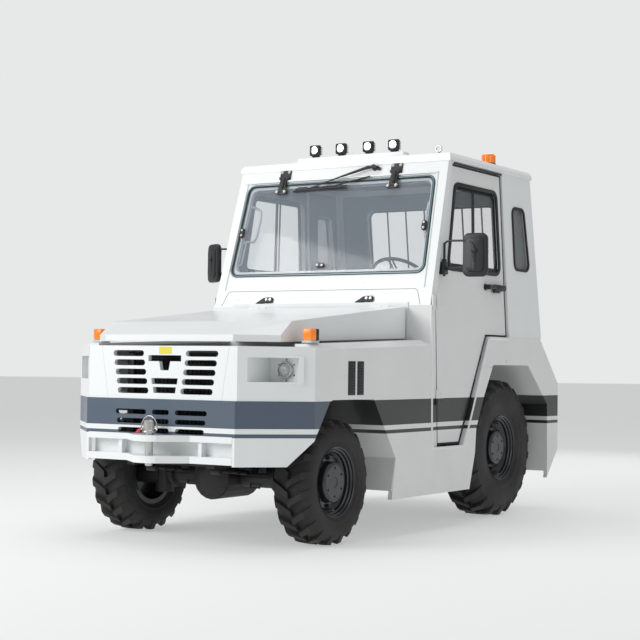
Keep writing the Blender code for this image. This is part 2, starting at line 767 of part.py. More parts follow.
# ---------------------------------------------------------------- body sides
def build_side_panel():
    """Left body side: nose corner, front arch with its liner, skirt and door cut-out."""
    nose = front(-CHAMFER_END) + GAP
    seam = FENDER_SEAM
    outline = [
        (nose, BUMPER_TOP + GAP), (front(-0.199), BUMPER_TOP + GAP), (front(-0.195), ARCH_TOP),
        (front(0.294), ARCH_TOP),
        (front(0.576), 0.506), (front(0.532), SKIRT_BOTTOM), (rear(-0.721), SKIRT_BOTTOM),
        (rear(-0.638), 0.492), (rear(-0.621), 0.661), (rear(-0.504), 0.883),
        (rear(-0.362), seam - GAP), (rear(-0.362) - 0.165, seam - GAP),
    ]
    slant = (DOOR_REAR_KNEE - DOOR_REAR_LOW) / (DOOR_KNEE_HEIGHT - DOOR_BOTTOM)
    sill = DOOR_BOTTOM - CUT_MARGIN
    low_rear = rear(DOOR_REAR_LOW) + CUT_MARGIN * 0.9 - CUT_MARGIN * slant
    outline[-1] = (low_rear + (seam - sill) * slant, seam - GAP)
    outline += [(low_rear, sill), (front(CAB_FRONT + POST_DEPTH), sill),
                (front(CAB_FRONT + POST_DEPTH), CAB_LEDGE), (front(CAB_FRONT), CAB_LEDGE),
                (front(CAB_FRONT), shoulder(front(CAB_FRONT))), (nose, shoulder(nose))]
    panel = prism("side_panel_left", "X", outline, HALF - SKIN, HALF)
    top = front(CAB_FRONT)
    ledge = hull("ledge", [
        (HALF - SKIN, nose, shoulder(nose) - 0.03), (HALF, nose, shoulder(nose) - 0.03),
        (HALF, nose, shoulder(nose)), (HALF - SHOULDER_IN, nose, shoulder(nose) + SHOULDER_RISE),
        (HALF - SHOULDER_IN - 0.07, nose, shoulder(nose) + SHOULDER_RISE),
        (HALF - SHOULDER_IN - 0.07, nose, shoulder(nose) + SHOULDER_RISE - 0.02),
        (HALF - SKIN, top, shoulder(top) - 0.03), (HALF, top, shoulder(top) - 0.03),
        (HALF, top, shoulder(top)), (HALF - SHOULDER_IN, top, shoulder(top) + SHOULDER_RISE),
        (HALF - SHOULDER_IN - 0.07, top, shoulder(top) + SHOULDER_RISE),
        (HALF - SHOULDER_IN - 0.07, top, shoulder(top) + SHOULDER_RISE - 0.02),
    ])
    post = box("post", (HOOD_REAR_HALF + RUNNING, front(CAB_FRONT), shoulder(top) - 0.02),
               (HALF, front(CAB_FRONT) + POST_DEPTH, CAB_LEDGE))
    strip = prism("strip", "X", [
        (front(CAB_FRONT) + POST_DEPTH - 0.01, sill), (door_front(sill) - DOOR_SEAL, sill),
        (door_front(CAB_LEDGE) - DOOR_SEAL, CAB_LEDGE),
        (front(CAB_FRONT) + POST_DEPTH - 0.01, CAB_LEDGE)], HALF - SKIN, HALF - FRAME_STEP)
    roof_plate = box("arch_top", (INNER_FRONT, front(-0.33), ARCH_TOP), (HALF - 0.005, front(0.300), ARCH_TOP + 0.02))
    wall = prism("arch_back", "X",
                 [(front(0.294), ARCH_TOP), (front(0.576), 0.506), (front(0.532), 0.30),
                  (front(0.550), 0.30), (front(0.597), 0.508), (front(0.305), ARCH_TOP + 0.02)],
                 INNER_FRONT, HALF - 0.005)
    inner = box("arch_inner", (INNER_FRONT, front(-0.33), RAIL_TOP + 0.047), (INNER_FRONT + 0.012, front(0.50), ARCH_TOP + 0.01))
    nose_wall = box("arch_front", (INNER_FRONT, front(-0.345), 0.790), (HALF - SKIN - 2 * GAP, front(-0.325), ARCH_TOP + 0.01))
    hinges = []
    edge = front(CAB_FRONT) + POST_DEPTH
    axis = (HALF + HINGE_RADIUS, front(DOOR_HINGE))
    for height in HINGE_HEIGHTS:
        hinges.append(box("leaf", (HALF - 0.004, edge - 0.042, height - 0.05),
                          (HALF + 0.005, edge, height + 0.05)))
        for low, high in ((height + 0.0203, height + 0.05), (height - 0.05, height - 0.0203)):
            hinges.append(rod("knuckle", (*axis, low), (*axis, high), HINGE_RADIUS, "white_paint"))
            hinges.append(box("tab", (HALF, edge - 0.01, low + 0.001),
                              (HALF + 0.0045, axis[1], high - 0.001)))
    return join(panel, ledge, post, strip, roof_plate, wall, inner, nose_wall, *hinges)


def build_rear_fender():
    """Left rear fender: outer plate, top, arch lining and the rear return."""
    seam = FENDER_SEAM
    slant = (DOOR_REAR_KNEE - DOOR_REAR_LOW) / (DOOR_KNEE_HEIGHT - DOOR_BOTTOM)
    sill = DOOR_BOTTOM - CUT_MARGIN
    low_rear = rear(DOOR_REAR_LOW) + CUT_MARGIN * 0.9 - CUT_MARGIN * slant
    top_front = low_rear + (FENDER_TOP - sill) * slant
    end = rear(REAR_BODY_END)
    arch = [(rear(-0.362), seam), (rear(-0.356), REAR_ARCH_TOP), (rear(0.233), REAR_ARCH_TOP),
            (rear(0.587), 0.811), (rear(0.599), 0.274), (rear(0.588), SKIRT_BOTTOM + 0.005)]
    outline = [(low_rear + (seam - sill) * slant, seam), *arch, (end, 0.461), (end, 0.966),
               (rear(0.447), FENDER_TOP), (top_front, FENDER_TOP)]
    fender = prism("rear_fender_left", "X", outline, HALF - SKIN, HALF)
    top = box("arch_top", (INNER_REAR, rear(-0.356), REAR_ARCH_TOP), (HALF - 0.005, rear(0.245), REAR_ARCH_TOP + 0.018))
    slope = prism("arch_back", "X",
                  [(rear(0.233), REAR_ARCH_TOP), (rear(0.587), 0.811), (rear(0.599), 0.300),
                   (rear(0.617), 0.300), (rear(0.606), 0.820), (rear(0.243), REAR_ARCH_TOP + 0.018)],
                  INNER_REAR, HALF - 0.005)
    lip = box("lip", (HALF - 0.075, rear(-0.30), FENDER_TOP - 0.02), (HALF - 0.005, rear(0.447), FENDER_TOP))
    return join(fender, top, slope, lip)


def build_tail():
    """Rear bodywork between the fenders: sloped deck and upright tail plate."""
    end = rear(REAR_BODY_END)
    wall = SKIN
    half = HALF - SKIN - GAP
    low = 0.46
    outline = [
        (end, low), (end, 0.966), (rear(0.485), 1.270), (rear(0.485), 1.235), (end - wall, 0.948), (end - wall, low),
    ]
    return prism("tail_panel", "X", outline, -half, half)


def build_rear_hitch():
    """Rear drawbar jaw: two plates with a pin on the tail plate."""
    end = rear(REAR_BODY_END)
    tip = rear(TAIL_OVERHANG)
    back = box("rear_hitch", (-0.17, end + GAP, 0.47), (0.17, end + 0.022, 0.72), "black_paint")
    plates = [box("plate", (-0.085, end + 0.01, height), (0.085, tip, height + 0.028), "black_paint")
              for height in (0.515, 0.635)]
    pin = rod("pin", (0, tip - 0.045, 0.495), (0, tip - 0.045, 0.700), 0.018, "steel", 16)
    return join(back, *plates, pin)


# ---------------------------------------------------------------- hood
def build_hood():
    """Hood shell: sloped front, rising top, flat sides; open underneath and behind."""
    base_front = NOSE_TOP + HOOD_SEAM
    base_rear = shoulder(front(CAB_FRONT)) + SHOULDER_RISE + 0.008
    back = hood_hinge_station() - 0.008

    def body(inset):
        below = 0.05 if inset else 0.0
        rear_end = back + below
        points = []
        for side in (-1, 1):
            across = (HOOD_FLAT - inset) * side
            corner = (HOOD_FRONT_HALF - inset) * side
            rear_side = (HOOD_REAR_HALF - inset) * side
            for height in (base_front - below, base_front + HOOD_LIP - inset):
                points.append((across, front(-HOOD_FACE) + inset, height))
                points.append((corner, front(-HOOD_CORNER) + inset, height))
            points.append(((HOOD_CREASE_HALF - inset) * side, front(-HOOD_CREASE), HOOD_CREASE_HEIGHT - inset))
            points.append((rear_side, rear_end, base_rear - below))
            points.append((rear_side, rear_end, HOOD_REAR_HEIGHT - inset))
        return points

    hood = cut(hull("hood", body(0.0)), hull("inside", body(HOOD_WALL)))
    barrels = []
    for side in (-1, 1):
        middle = side * HOOD_HINGE_OFFSET
        axis = (hood_hinge_station(), HOOD_REAR_HEIGHT)
        barrels.append(rod("barrel", (middle - 0.03, *axis), (middle + 0.03, *axis), 0.006,
                           "white_paint"))
        barrels.append(box("tab", (middle - 0.029, axis[0] - 0.025, axis[1] - 0.010),
                           (middle + 0.029, axis[0], axis[1] + 0.003)))
    return join(hood, *barrels)


def hood_hinge_station():
    """Station of the hood's hinge axis, just ahead of the cowl."""
    return front(CAB_FRONT) - COWL_PROUD - 0.008


# ---------------------------------------------------------------- cab
def build_cab_front():
    """Raked windshield frame over an upright cowl wall."""
    top = ROOF_TOP - ROOF_THICKNESS - GAP
    low = CAB_LEDGE
    inside = cab_side(low)
    outline = [(-cab_side(low), low), (cab_side(low), low), (cab_side(top), top), (-cab_side(top), top)]
    frame = onto_windshield("cab_front", outline, 0.0, CAB_WALL * 1.05)
    hole = [(-GLASS_BOTTOM_HALF + 0.004, GLASS_BOTTOM + 0.004), (GLASS_BOTTOM_HALF - 0.004, GLASS_BOTTOM + 0.004),
            (GLASS_TOP_HALF - 0.004, WINDSHIELD_TOP - 0.004), (-GLASS_TOP_HALF + 0.004, WINDSHIELD_TOP - 0.004)]
    inner = [(x * 0.965, z + (0.03 if z < 2 else -0.03)) for x, z in hole]
    opening = onto_windshield("opening", rounded(inner, GLASS_CORNER * 0.8), -0.1, 0.2)
    rebate = onto_windshield("rebate", rounded(
        [(-GLASS_BOTTOM_HALF, GLASS_BOTTOM), (GLASS_BOTTOM_HALF, GLASS_BOTTOM),
         (GLASS_TOP_HALF, WINDSHIELD_TOP), (-GLASS_TOP_HALF, WINDSHIELD_TOP)], GLASS_CORNER), -0.1, 0.010)
    cut(frame, opening, rebate)
    wall_back = front(CAB_FRONT) + CAB_WALL
    cowl_half = HOOD_REAR_HALF + RUNNING - GAP
    cowl_face = front(CAB_FRONT) - COWL_PROUD
    cowl = box("cowl", (-cowl_half, cowl_face, shoulder(front(CAB_FRONT)) - 0.02),
               (cowl_half, wall_back, CAB_LEDGE + 0.02))
    hinges = []
    for side in (-1, 1):
        for shift in (-0.0503, 0.0503):
            middle = side * HOOD_HINGE_OFFSET + shift
            axis = (hood_hinge_station(), HOOD_REAR_HEIGHT)
            hinges.append(rod("knuckle", (middle - 0.02, *axis), (middle + 0.02, *axis), 0.006,
                              "white_paint"))
            hinges.append(box("tab", (middle - 0.019, axis[0], axis[1] - 0.004),
                              (middle + 0.019, cowl_face + 0.01, axis[1] + 0.005)))
    return join(frame, cowl, *hinges)


def build_windshield():
    """Windshield pane in its rebate."""
    clear = 0.002
    outline = rounded([(-GLASS_BOTTOM_HALF + clear, GLASS_BOTTOM + clear), (GLASS_BOTTOM_HALF - clear, GLASS_BOTTOM + clear),
                       (GLASS_TOP_HALF - clear, WINDSHIELD_TOP - clear), (-GLASS_TOP_HALF + clear, WINDSHIELD_TOP - clear)],
                      GLASS_CORNER - clear)
    return onto_windshield("windshield", outline, 0.0, 0.010 - GAP, "glass")


def door_front(height):
    """Station of the door's front edge below the windshield pillar."""
    share = (DOOR_PILLAR - height) / (DOOR_PILLAR - DOOR_BOTTOM)
    return front(DOOR_FRONT) + (DOOR_FRONT_LOW - DOOR_FRONT) * share


def door_outline(grow, top):
    """Edge of the door, or of its opening when grown, as (station, height) pairs."""
    slant = (DOOR_REAR_KNEE - DOOR_REAR_LOW) / (DOOR_KNEE_HEIGHT - DOOR_BOTTOM)
    high = top + grow
    pillar_top = cab_face(high) + 0.075 - grow
    return [
        (door_front(DOOR_BOTTOM) - grow, DOOR_BOTTOM - grow), (rear(DOOR_REAR_LOW) + grow - grow * slant, DOOR_BOTTOM - grow),
        (rear(DOOR_REAR_KNEE) + grow, DOOR_KNEE_HEIGHT - grow), (rear(DOOR_REAR) + grow, DOOR_KNEE_HEIGHT - grow),
        (rear(DOOR_REAR_TOP) + grow, high), (pillar_top, high), (door_front(DOOR_PILLAR) - grow, DOOR_PILLAR),
    ]


def build_cab_side():
    """Left cab side: pillars and rail around the door, and the rear quarter with its window."""
    top = ROOF_TOP - ROOF_THICKNESS - GAP
    low = FENDER_TOP + GAP
    clear = 0.001
    outer = [(cab_face(CAB_LEDGE) + CAB_WALL * 1.05 + clear, CAB_LEDGE + GAP), (rear(-0.34), CAB_LEDGE + GAP),
             (rear(-0.34), low), (cab_rear(low) - clear, low), (cab_rear(top) - clear, top),
             (cab_face(top) + CAB_WALL * 1.05 + clear, top)]
    x_out = cab_side(BELT)
    side = prism("cab_side_left", "X", outer, x_out - CAB_WALL, x_out)
    door_top = ROOF_TOP - DOOR_TOP_DROP
    opening = prism("opening", "X", door_outline(DOOR_SEAL, door_top), x_out - 0.2, x_out + 0.2)
    window = prism("window", "X", rounded(quarter_corners(0.0), 0.035), x_out - 0.2, x_out + 0.2)
    cut(side, opening, window)
    return lean(side, BELT, LEAN)


def quarter_corners(inset):
    """Corners of the rear quarter window."""
    low = QUARTER_LOW + inset
    high = QUARTER_HIGH - inset
    return [(rear(QUARTER_FRONT[0]) + inset, low), (rear(QUARTER_BACK[0]) - inset, low),
            (rear(QUARTER_BACK[1]) - inset, high), (rear(QUARTER_FRONT[1]) + inset, high)]


def build_quarter_window():
    """Left rear quarter window with its rubber surround."""
    x_out = cab_side(BELT)
    pane = prism("quarter_window_left", "X", rounded(quarter_corners(GAP * 3), 0.034),
                 x_out - 0.026, x_out - 0.014, "glass")
    return lean(pane, BELT, LEAN)


def build_door():
    """Left door with its window cut."""
    top = ROOF_TOP - DOOR_TOP_DROP
    x_out = DOOR_FACE_X
    door = prism("door_left", "X", door_outline(0.0, top), x_out - DOOR_THICKNESS, x_out)
    window = prism("window", "X", rounded(door_window(0.0), 0.06), x_out - 0.2, x_out + 0.2)
    cut(door, window)
    lean(door, BELT, DOOR_LEAN)
    axis = (HALF + HINGE_RADIUS, front(DOOR_HINGE))
    hinges = []
    for height in HINGE_HEIGHTS:
        hinges.append(rod("barrel", (*axis, height - 0.020), (*axis, height + 0.020), HINGE_RADIUS,
                          "white_paint"))
        edge = door_front(height)
        hinges.append(box("leaf", (x_out - 0.02, edge + 0.004, height - 0.020),
                          (HALF + 0.006, edge + 0.026, height + 0.020)))
        hinges.append(box("tab", (HALF, axis[1], height - 0.019),
                          (HALF + 0.005, edge + 0.025, height + 0.019)))
    return join(door, *hinges)


def door_window(inset):
    """Corners of the door window."""
    top = ROOF_TOP - DOOR_WINDOW_DROP - inset
    low = DOOR_WINDOW_LOW + inset
    return [(front(1.314) + inset, low), (rear(-0.189) - inset, low), (rear(-0.244) - inset, top),
            (cab_face(top) + 0.075 + WINDOW_BAND + inset, top)]


def build_door_window():
    """Left door glass with its frame line."""
    x_out = DOOR_FACE_X
    pane = prism("door_window_left", "X", rounded(door_window(GAP * 3), 0.058), x_out - 0.026, x_out - 0.014,
                 "glass")
    return lean(pane, BELT, DOOR_LEAN)


def mirror_head(middle, station, toe, low):
    """Mirror head turned inwards by an angle."""
    points = []
    for across in (-0.090, 0.090):
        for along in (-0.028, 0.028):
            for height in (low, low + 0.277):
                points.append((middle + across * math.cos(toe) - along * math.sin(toe),
                               station + across * math.sin(toe) + along * math.cos(toe), height))
    return hull("head", points, "dark_plastic")


def build_mirror(toe, reach, low):
    """Left mirror: clamp on the door, tube arm and head."""
    face = door_face(1.690)
    clamp = box("mirror_left", (face + GAP, front(1.215), 1.690), (face + 0.045, front(1.275), 1.800), "dark_plastic")
    arm = rod("arm", (face + 0.02, front(1.245), 1.745), (reach - 0.02, front(1.235), 1.775), 0.014,
              "dark_plastic", 10)
    riser = rod("riser", (reach - 0.02, front(1.235), 1.745), (reach - 0.02, front(1.235), 1.930),
                0.012, "dark_plastic", 10)
    head = mirror_head(reach, front(1.270), toe, low)
    return join(clamp, arm, riser, head)


def build_rear_wall():
    """Cab rear wall with the rear window cut."""
    low = FENDER_TOP - 0.04
    top = ROOF_TOP - ROOF_THICKNESS - GAP
    clear = 0.001
    wall = SKIN

    def half(height):
        return cab_side(height) - CAB_WALL - clear
    shape = bmesh.new()
    outer = [(-half(low), low), (half(low), low), (half(BELT), BELT), (half(top), top), (-half(top), top), (-half(BELT), BELT)]
    near = [shape.verts.new((x, cab_rear(z) - 0.001, z)) for x, z in outer]
    far = [shape.verts.new((x, cab_rear(z) - wall, z)) for x, z in outer]
    shape.faces.new(near)
    shape.faces.new(far[::-1])
    for index in range(6):
        after = (index + 1) % 6
        shape.faces.new((near[after], near[index], far[index], far[after]))
    panel = finish_mesh("cab_rear_wall", shape)
    window = prism("window", "Y", rounded(rear_window_corners(0.0), 0.06), rear(0.0), rear(0.9))
    return cut(panel, window)


def rear_window_corners(inset):
    """Corners of the rear window, seen along the machine."""
    half = 0.560 - inset
    return [(-half, 1.700 + inset), (half, 1.700 + inset), (half, 2.330 - inset), (-half, 2.330 - inset)]


def build_rear_window():
    """Rear window pane, following the rear wall's lean."""
    pane = prism("rear_window", "Y", rounded(rear_window_corners(GAP * 3), 0.059), 0.0, 0.010, "glass")
    for vertex in pane.data.vertices:
        vertex.co.y += cab_rear(vertex.co.z) - 0.022
    return pane


def build_roof():
    """Roof panel with side lips."""
    low = ROOF_TOP - ROOF_THICKNESS
    half = cab_side(low) + ROOF_LIP
    top_half = half - 0.012
    points = []
    for side in (-1, 1):
        points.append((side * half, cab_face(low) - 0.004, low))
        points.append((side * half, cab_rear(low) + 0.006, low))
        points.append((side * top_half, cab_face(ROOF_TOP) - 0.002, ROOF_TOP))
        points.append((side * top_half, cab_rear(ROOF_TOP) - 0.006, ROOF_TOP))
        points.append((side * half, cab_face(low) - 0.004, low + 0.03))
        points.append((side * half, cab_rear(low) + 0.006, low + 0.03))
    return hull("roof_panel", points)


def build_lamp_bar():
    """Lamp platform on the roof with four work lamps."""
    face = front(1.44)
    base = box("lamp_bar", (-0.44, face, ROOF_TOP + GAP), (0.44, face + 0.085, ROOF_TOP + 0.046))
    parts = []
    for middle in (-0.324, -0.108, 0.108, 0.324):
        parts.append(box("foot", (middle - 0.012, face + 0.03, ROOF_TOP + 0.04), (middle + 0.012, face + 0.055, ROOF_TOP + 0.065), "black_paint"))
        parts.append(box("lamp", (middle - 0.042, face + 0.005, ROOF_TOP + 0.060), (middle + 0.042, face + 0.070, ROOF_TOP + 0.135), "black_paint"))
    return join(base, *parts)


def build_beacon():
    """Amber beacon on the roof."""
    centre = (0.780, front(2.11))
    base = rod("beacon", (*centre, ROOF_TOP + GAP), (*centre, ROOF_TOP + 0.018), 0.055, "amber", 24)
    dome = rod("dome", (*centre, ROOF_TOP + 0.017), (*centre, ROOF_TOP + 0.085), 0.051, "amber", 24)
    return join(base, dome)


def firewall_back():
    """Station of the firewall's inner face, with the gap that the dashboard keeps."""
    return front(CAB_FRONT) + POST_DEPTH + FIREWALL + 2 * GAP


def build_floor():
    """Stepped cab floor: firewall, foot floor, riser and the deck under the seats."""
    fire = front(CAB_FRONT) + POST_DEPTH + GAP
    low = FLOOR_TOP - FLOOR_THICKNESS
    riser = rear(-0.690)
    back = cab_rear(FENDER_TOP) - SKIN - 0.01
    half = DOOR_FACE_X - DOOR_THICKNESS - 0.014
    outline = [(fire, low), (riser + 0.03, low), (riser + 0.03, DECK_TOP - 0.035), (back, DECK_TOP - 0.035),
               (back, DECK_TOP), (riser, DECK_TOP), (riser, FLOOR_TOP), (fire + FIREWALL, FLOOR_TOP),
               (fire + FIREWALL, CAB_LEDGE - 0.10), (fire, CAB_LEDGE - 0.10)]
    return prism("cab_floor", "X", outline, -half, half, "dark_plastic")


def build_seats():
    """Two seats on a shared base."""
    deck = DECK_TOP + GAP
    base = box("seats", (-0.60, rear(-0.56), deck), (0.62, rear(-0.10), deck + 0.05), "seat_cloth")
    parts = []
    for middle in (-0.36, 0.38):
        parts.append(box("cushion", (middle - 0.24, rear(-0.60), deck + 0.04), (middle + 0.24, rear(-0.10), deck + 0.15), "seat_cloth"))
        parts.append(prism("back", "X", [(rear(-0.16), deck + 0.10), (rear(-0.06), deck + 0.10),
                                         (rear(0.06), deck + 0.66), (rear(-0.03), deck + 0.66)],
                           middle - 0.22, middle + 0.22, "seat_cloth"))
    return join(base, *parts)


def build_dashboard():
    """Instrument panel across the cab, against the firewall."""
    fire = firewall_back()
    half = 0.800
    outline = [(fire, 1.10), (fire + 0.12, 1.14), (fire + 0.24, 1.40), (fire + 0.20, 1.52),
               (fire + 0.035, 1.56), (fire + 0.035, 1.41), (fire, 1.39)]
    dash = prism("dashboard", "X", outline, -half, half, "dark_plastic")
    start, end = column_ends()
    back = start - (end - start).normalized() * GAP * 2
    return cut(dash, rod("socket", back, end, COLUMN_RADIUS + 2 * GAP, sides=12))


def column_ends():
    """Lower and upper end of the steering column."""
    fire = firewall_back()
    return Vector((0.38, fire + 0.205, 1.397)), Vector((0.38, fire + 0.42, 1.66))


def build_steering_wheel():
    """Steering wheel and column, ahead of the left seat."""
    start, end = column_ends()
    column = rod("steering_wheel", start, end, COLUMN_RADIUS, "dark_plastic", 12)
    run = (end - start).normalized()
    shape = bmesh.new()
    turn = run.to_track_quat("Z", "Y").to_matrix()
    steps = 24
    sides = 8
    rings = []
    for step in range(steps):
        angle = 2 * math.pi * step / steps
        ring = []
        for corner in range(sides):
            tilt = 2 * math.pi * corner / sides
            reach = 0.205 + 0.014 * math.cos(tilt)
            local = Vector((reach * math.cos(angle), reach * math.sin(angle), 0.014 * math.sin(tilt)))
            ring.append(shape.verts.new(end + turn @ local))
        rings.append(ring)
    for step in range(steps):
        for corner in range(sides):
            shape.faces.new((rings[step][corner], rings[step][(corner + 1) % sides],
                             rings[(step + 1) % steps][(corner + 1) % sides],
                             rings[(step + 1) % steps][corner]))
    rim = finish_mesh("rim", shape, "dark_plastic")
    spokes = []
    for angle in (math.radians(90), math.radians(210), math.radians(330)):
        reach = turn @ Vector((math.cos(angle), math.sin(angle), 0.0))
        spokes.append(rod("spoke", end - run * 0.008, end - run * 0.008 + reach * 0.205, 0.009, "dark_plastic", 8))
    return join(column, rim, *spokes)


# ---------------------------------------------------------------- assembly
def hang(things, name, point):
    """Parents pieces to an empty on their joint, keeping them in place."""
    empty = bpy.data.objects.new(name, None)
    empty.location = point
    bpy.context.scene.collection.objects.link(empty)
    bpy.context.view_layer.update()
    for thing in things:
        thing.parent = empty
        thing.matrix_parent_inverse = empty.matrix_world.inverted()
    return empty


def main():
    """Builds every piece and groups the moving ones on their joints."""
    for old in list(bpy.data.objects):
        bpy.data.objects.remove(old)

    build_chassis()
    build_engine()
    build_radiator()
    build_axle("front_axle", FRONT_AXLE, FRONT_TYRE_RADIUS, KINGPIN_OFFSET - KINGPIN_BARREL - 2 * GAP,
               0.062, 0.170, RAIL_BOTTOM)
    build_axle("rear_axle", REAR_AXLE, REAR_TYRE_RADIUS, REAR_WHEEL_OFFSET - GAP, 0.070, 0.190,
               REAR_RAIL_BOTTOM)

    build_nose()
    build_grille()
    build_bumper()
    build_front_hitch()
    build_tow_pin()
    build_tail()
    build_rear_hitch()
    for maker, name in ((build_headlamp, "headlamp"), (build_turn_signal, "turn_signal"),
                        (build_side_panel, "side_panel"), (build_rear_fender, "rear_fender"),
                        (build_cab_side, "cab_side"), (build_quarter_window, "quarter_window")):
        mirrored(maker(), f"{name}_right")

    build_cab_front()
    build_windshield()
    build_rear_wall()
    build_rear_window()
    build_roof()
    build_lamp_bar()
    build_beacon()
    build_floor()
    build_seats()
    build_dashboard()
    build_steering_wheel()

    hood_axis = (0.0, hood_hinge_station(), HOOD_REAR_HEIGHT)
    hang([build_hood()], "hood_hinge", hood_axis)

    hinge = (HALF + HINGE_RADIUS, front(DOOR_HINGE), 1.2)
    left = [build_door(), build_door_window()]
    right = [mirrored(thing, thing.name.replace("_left", "_right")) for thing in left]
    far = build_mirror(math.radians(30), 1.060, 1.705)
    right.append(mirrored(far, "mirror_right"))
    bpy.data.objects.remove(far)
    left.append(build_mirror(math.radians(8), 1.105, 1.713))
    hang(left, "door_hinge_left", hinge)
    hang(right, "door_hinge_right", (-hinge[0], hinge[1], hinge[2]))

    for label, side in (("left", 1), ("right", -1)):
        knuckle = build_knuckle(f"steering_knuckle_{label}", side)
        wheels = build_wheel(f"front_{label}", side, FRONT_WHEEL_OFFSET, FRONT_AXLE,
                             FRONT_TYRE_RADIUS, FRONT_TYRE_WIDTH, FRONT_RIM_RADIUS)
        hang([knuckle], f"kingpin_{label}", (side * KINGPIN_OFFSET, FRONT_AXLE, FRONT_TYRE_RADIUS))
        hang(wheels, f"front_hub_{label}",
             (side * FRONT_WHEEL_OFFSET, FRONT_AXLE, FRONT_TYRE_RADIUS))
        wheels = build_wheel(f"rear_{label}", side, REAR_WHEEL_OFFSET, REAR_AXLE,
                             REAR_TYRE_RADIUS, REAR_TYRE_WIDTH, REAR_RIM_RADIUS)
        hang(wheels, f"rear_hub_{label}", (side * REAR_WHEEL_OFFSET, REAR_AXLE, REAR_TYRE_RADIUS))


main()
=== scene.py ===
"""Finished look of a cabbed four-wheel-drive airport tow tractor.

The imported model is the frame. Each sub-assembly below is a class that measures itself on that frame,
models its pieces with mesh operators and dresses them with procedural finishes.
"""
from __future__ import annotations

import json
import logging
import math
from collections.abc import Callable, Sequence
from dataclasses import dataclass, field
from enum import Enum

import bpy
from mathutils import Matrix, Vector

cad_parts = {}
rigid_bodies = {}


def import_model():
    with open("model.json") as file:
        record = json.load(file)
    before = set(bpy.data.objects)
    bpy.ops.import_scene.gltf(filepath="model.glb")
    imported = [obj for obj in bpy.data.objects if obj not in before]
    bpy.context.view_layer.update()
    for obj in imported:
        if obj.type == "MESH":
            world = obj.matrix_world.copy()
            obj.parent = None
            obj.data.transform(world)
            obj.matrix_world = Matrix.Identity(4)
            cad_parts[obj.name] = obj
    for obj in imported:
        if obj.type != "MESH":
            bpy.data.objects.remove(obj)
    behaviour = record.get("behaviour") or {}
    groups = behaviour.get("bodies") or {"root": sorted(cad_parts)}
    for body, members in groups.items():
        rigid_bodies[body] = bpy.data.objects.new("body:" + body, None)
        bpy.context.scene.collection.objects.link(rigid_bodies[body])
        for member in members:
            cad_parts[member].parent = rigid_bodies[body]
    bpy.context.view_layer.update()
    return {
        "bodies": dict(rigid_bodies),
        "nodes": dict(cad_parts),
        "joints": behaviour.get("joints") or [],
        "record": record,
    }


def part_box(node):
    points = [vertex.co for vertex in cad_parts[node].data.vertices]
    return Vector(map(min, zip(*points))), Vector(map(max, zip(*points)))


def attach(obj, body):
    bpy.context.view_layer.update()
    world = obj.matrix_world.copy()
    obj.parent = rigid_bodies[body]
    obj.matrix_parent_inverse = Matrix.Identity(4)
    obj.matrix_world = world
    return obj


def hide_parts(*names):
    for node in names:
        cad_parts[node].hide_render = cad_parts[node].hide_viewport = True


LOG = logging.getLogger("tow_tractor")

Thing = bpy.types.Object
Flat = tuple[float, float]
Point = tuple[float, float, float]
Color = tuple[float, float, float]

ARC_SLACK = 0.01             # an arc may miss its end by this share of its radius
SKIN_LIFT = 0.0006          # trim stands this far off the panel that carries it


class Body(Enum):
    """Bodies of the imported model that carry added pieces."""

    CHASSIS = "chassis"
    LEFT_DOOR = "left_door"
    RIGHT_DOOR = "right_door"
    FRONT_WHEEL_LEFT = "front_wheel_left"
    FRONT_WHEEL_RIGHT = "front_wheel_right"
    REAR_WHEEL_LEFT = "rear_wheel_left"
    REAR_WHEEL_RIGHT = "rear_wheel_right"


class Slot(Enum):
    """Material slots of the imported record."""

    WHITE = "white_paint"
    BLACK = "black_paint"
    TYRE = "tyre"
    RIM = "rim_paint"
    STEEL = "steel"
    GLASS = "glass"
    AMBER = "amber"
    LAMP = "lamp"
    CLOTH = "seat_cloth"
    PLASTIC = "dark_plastic"


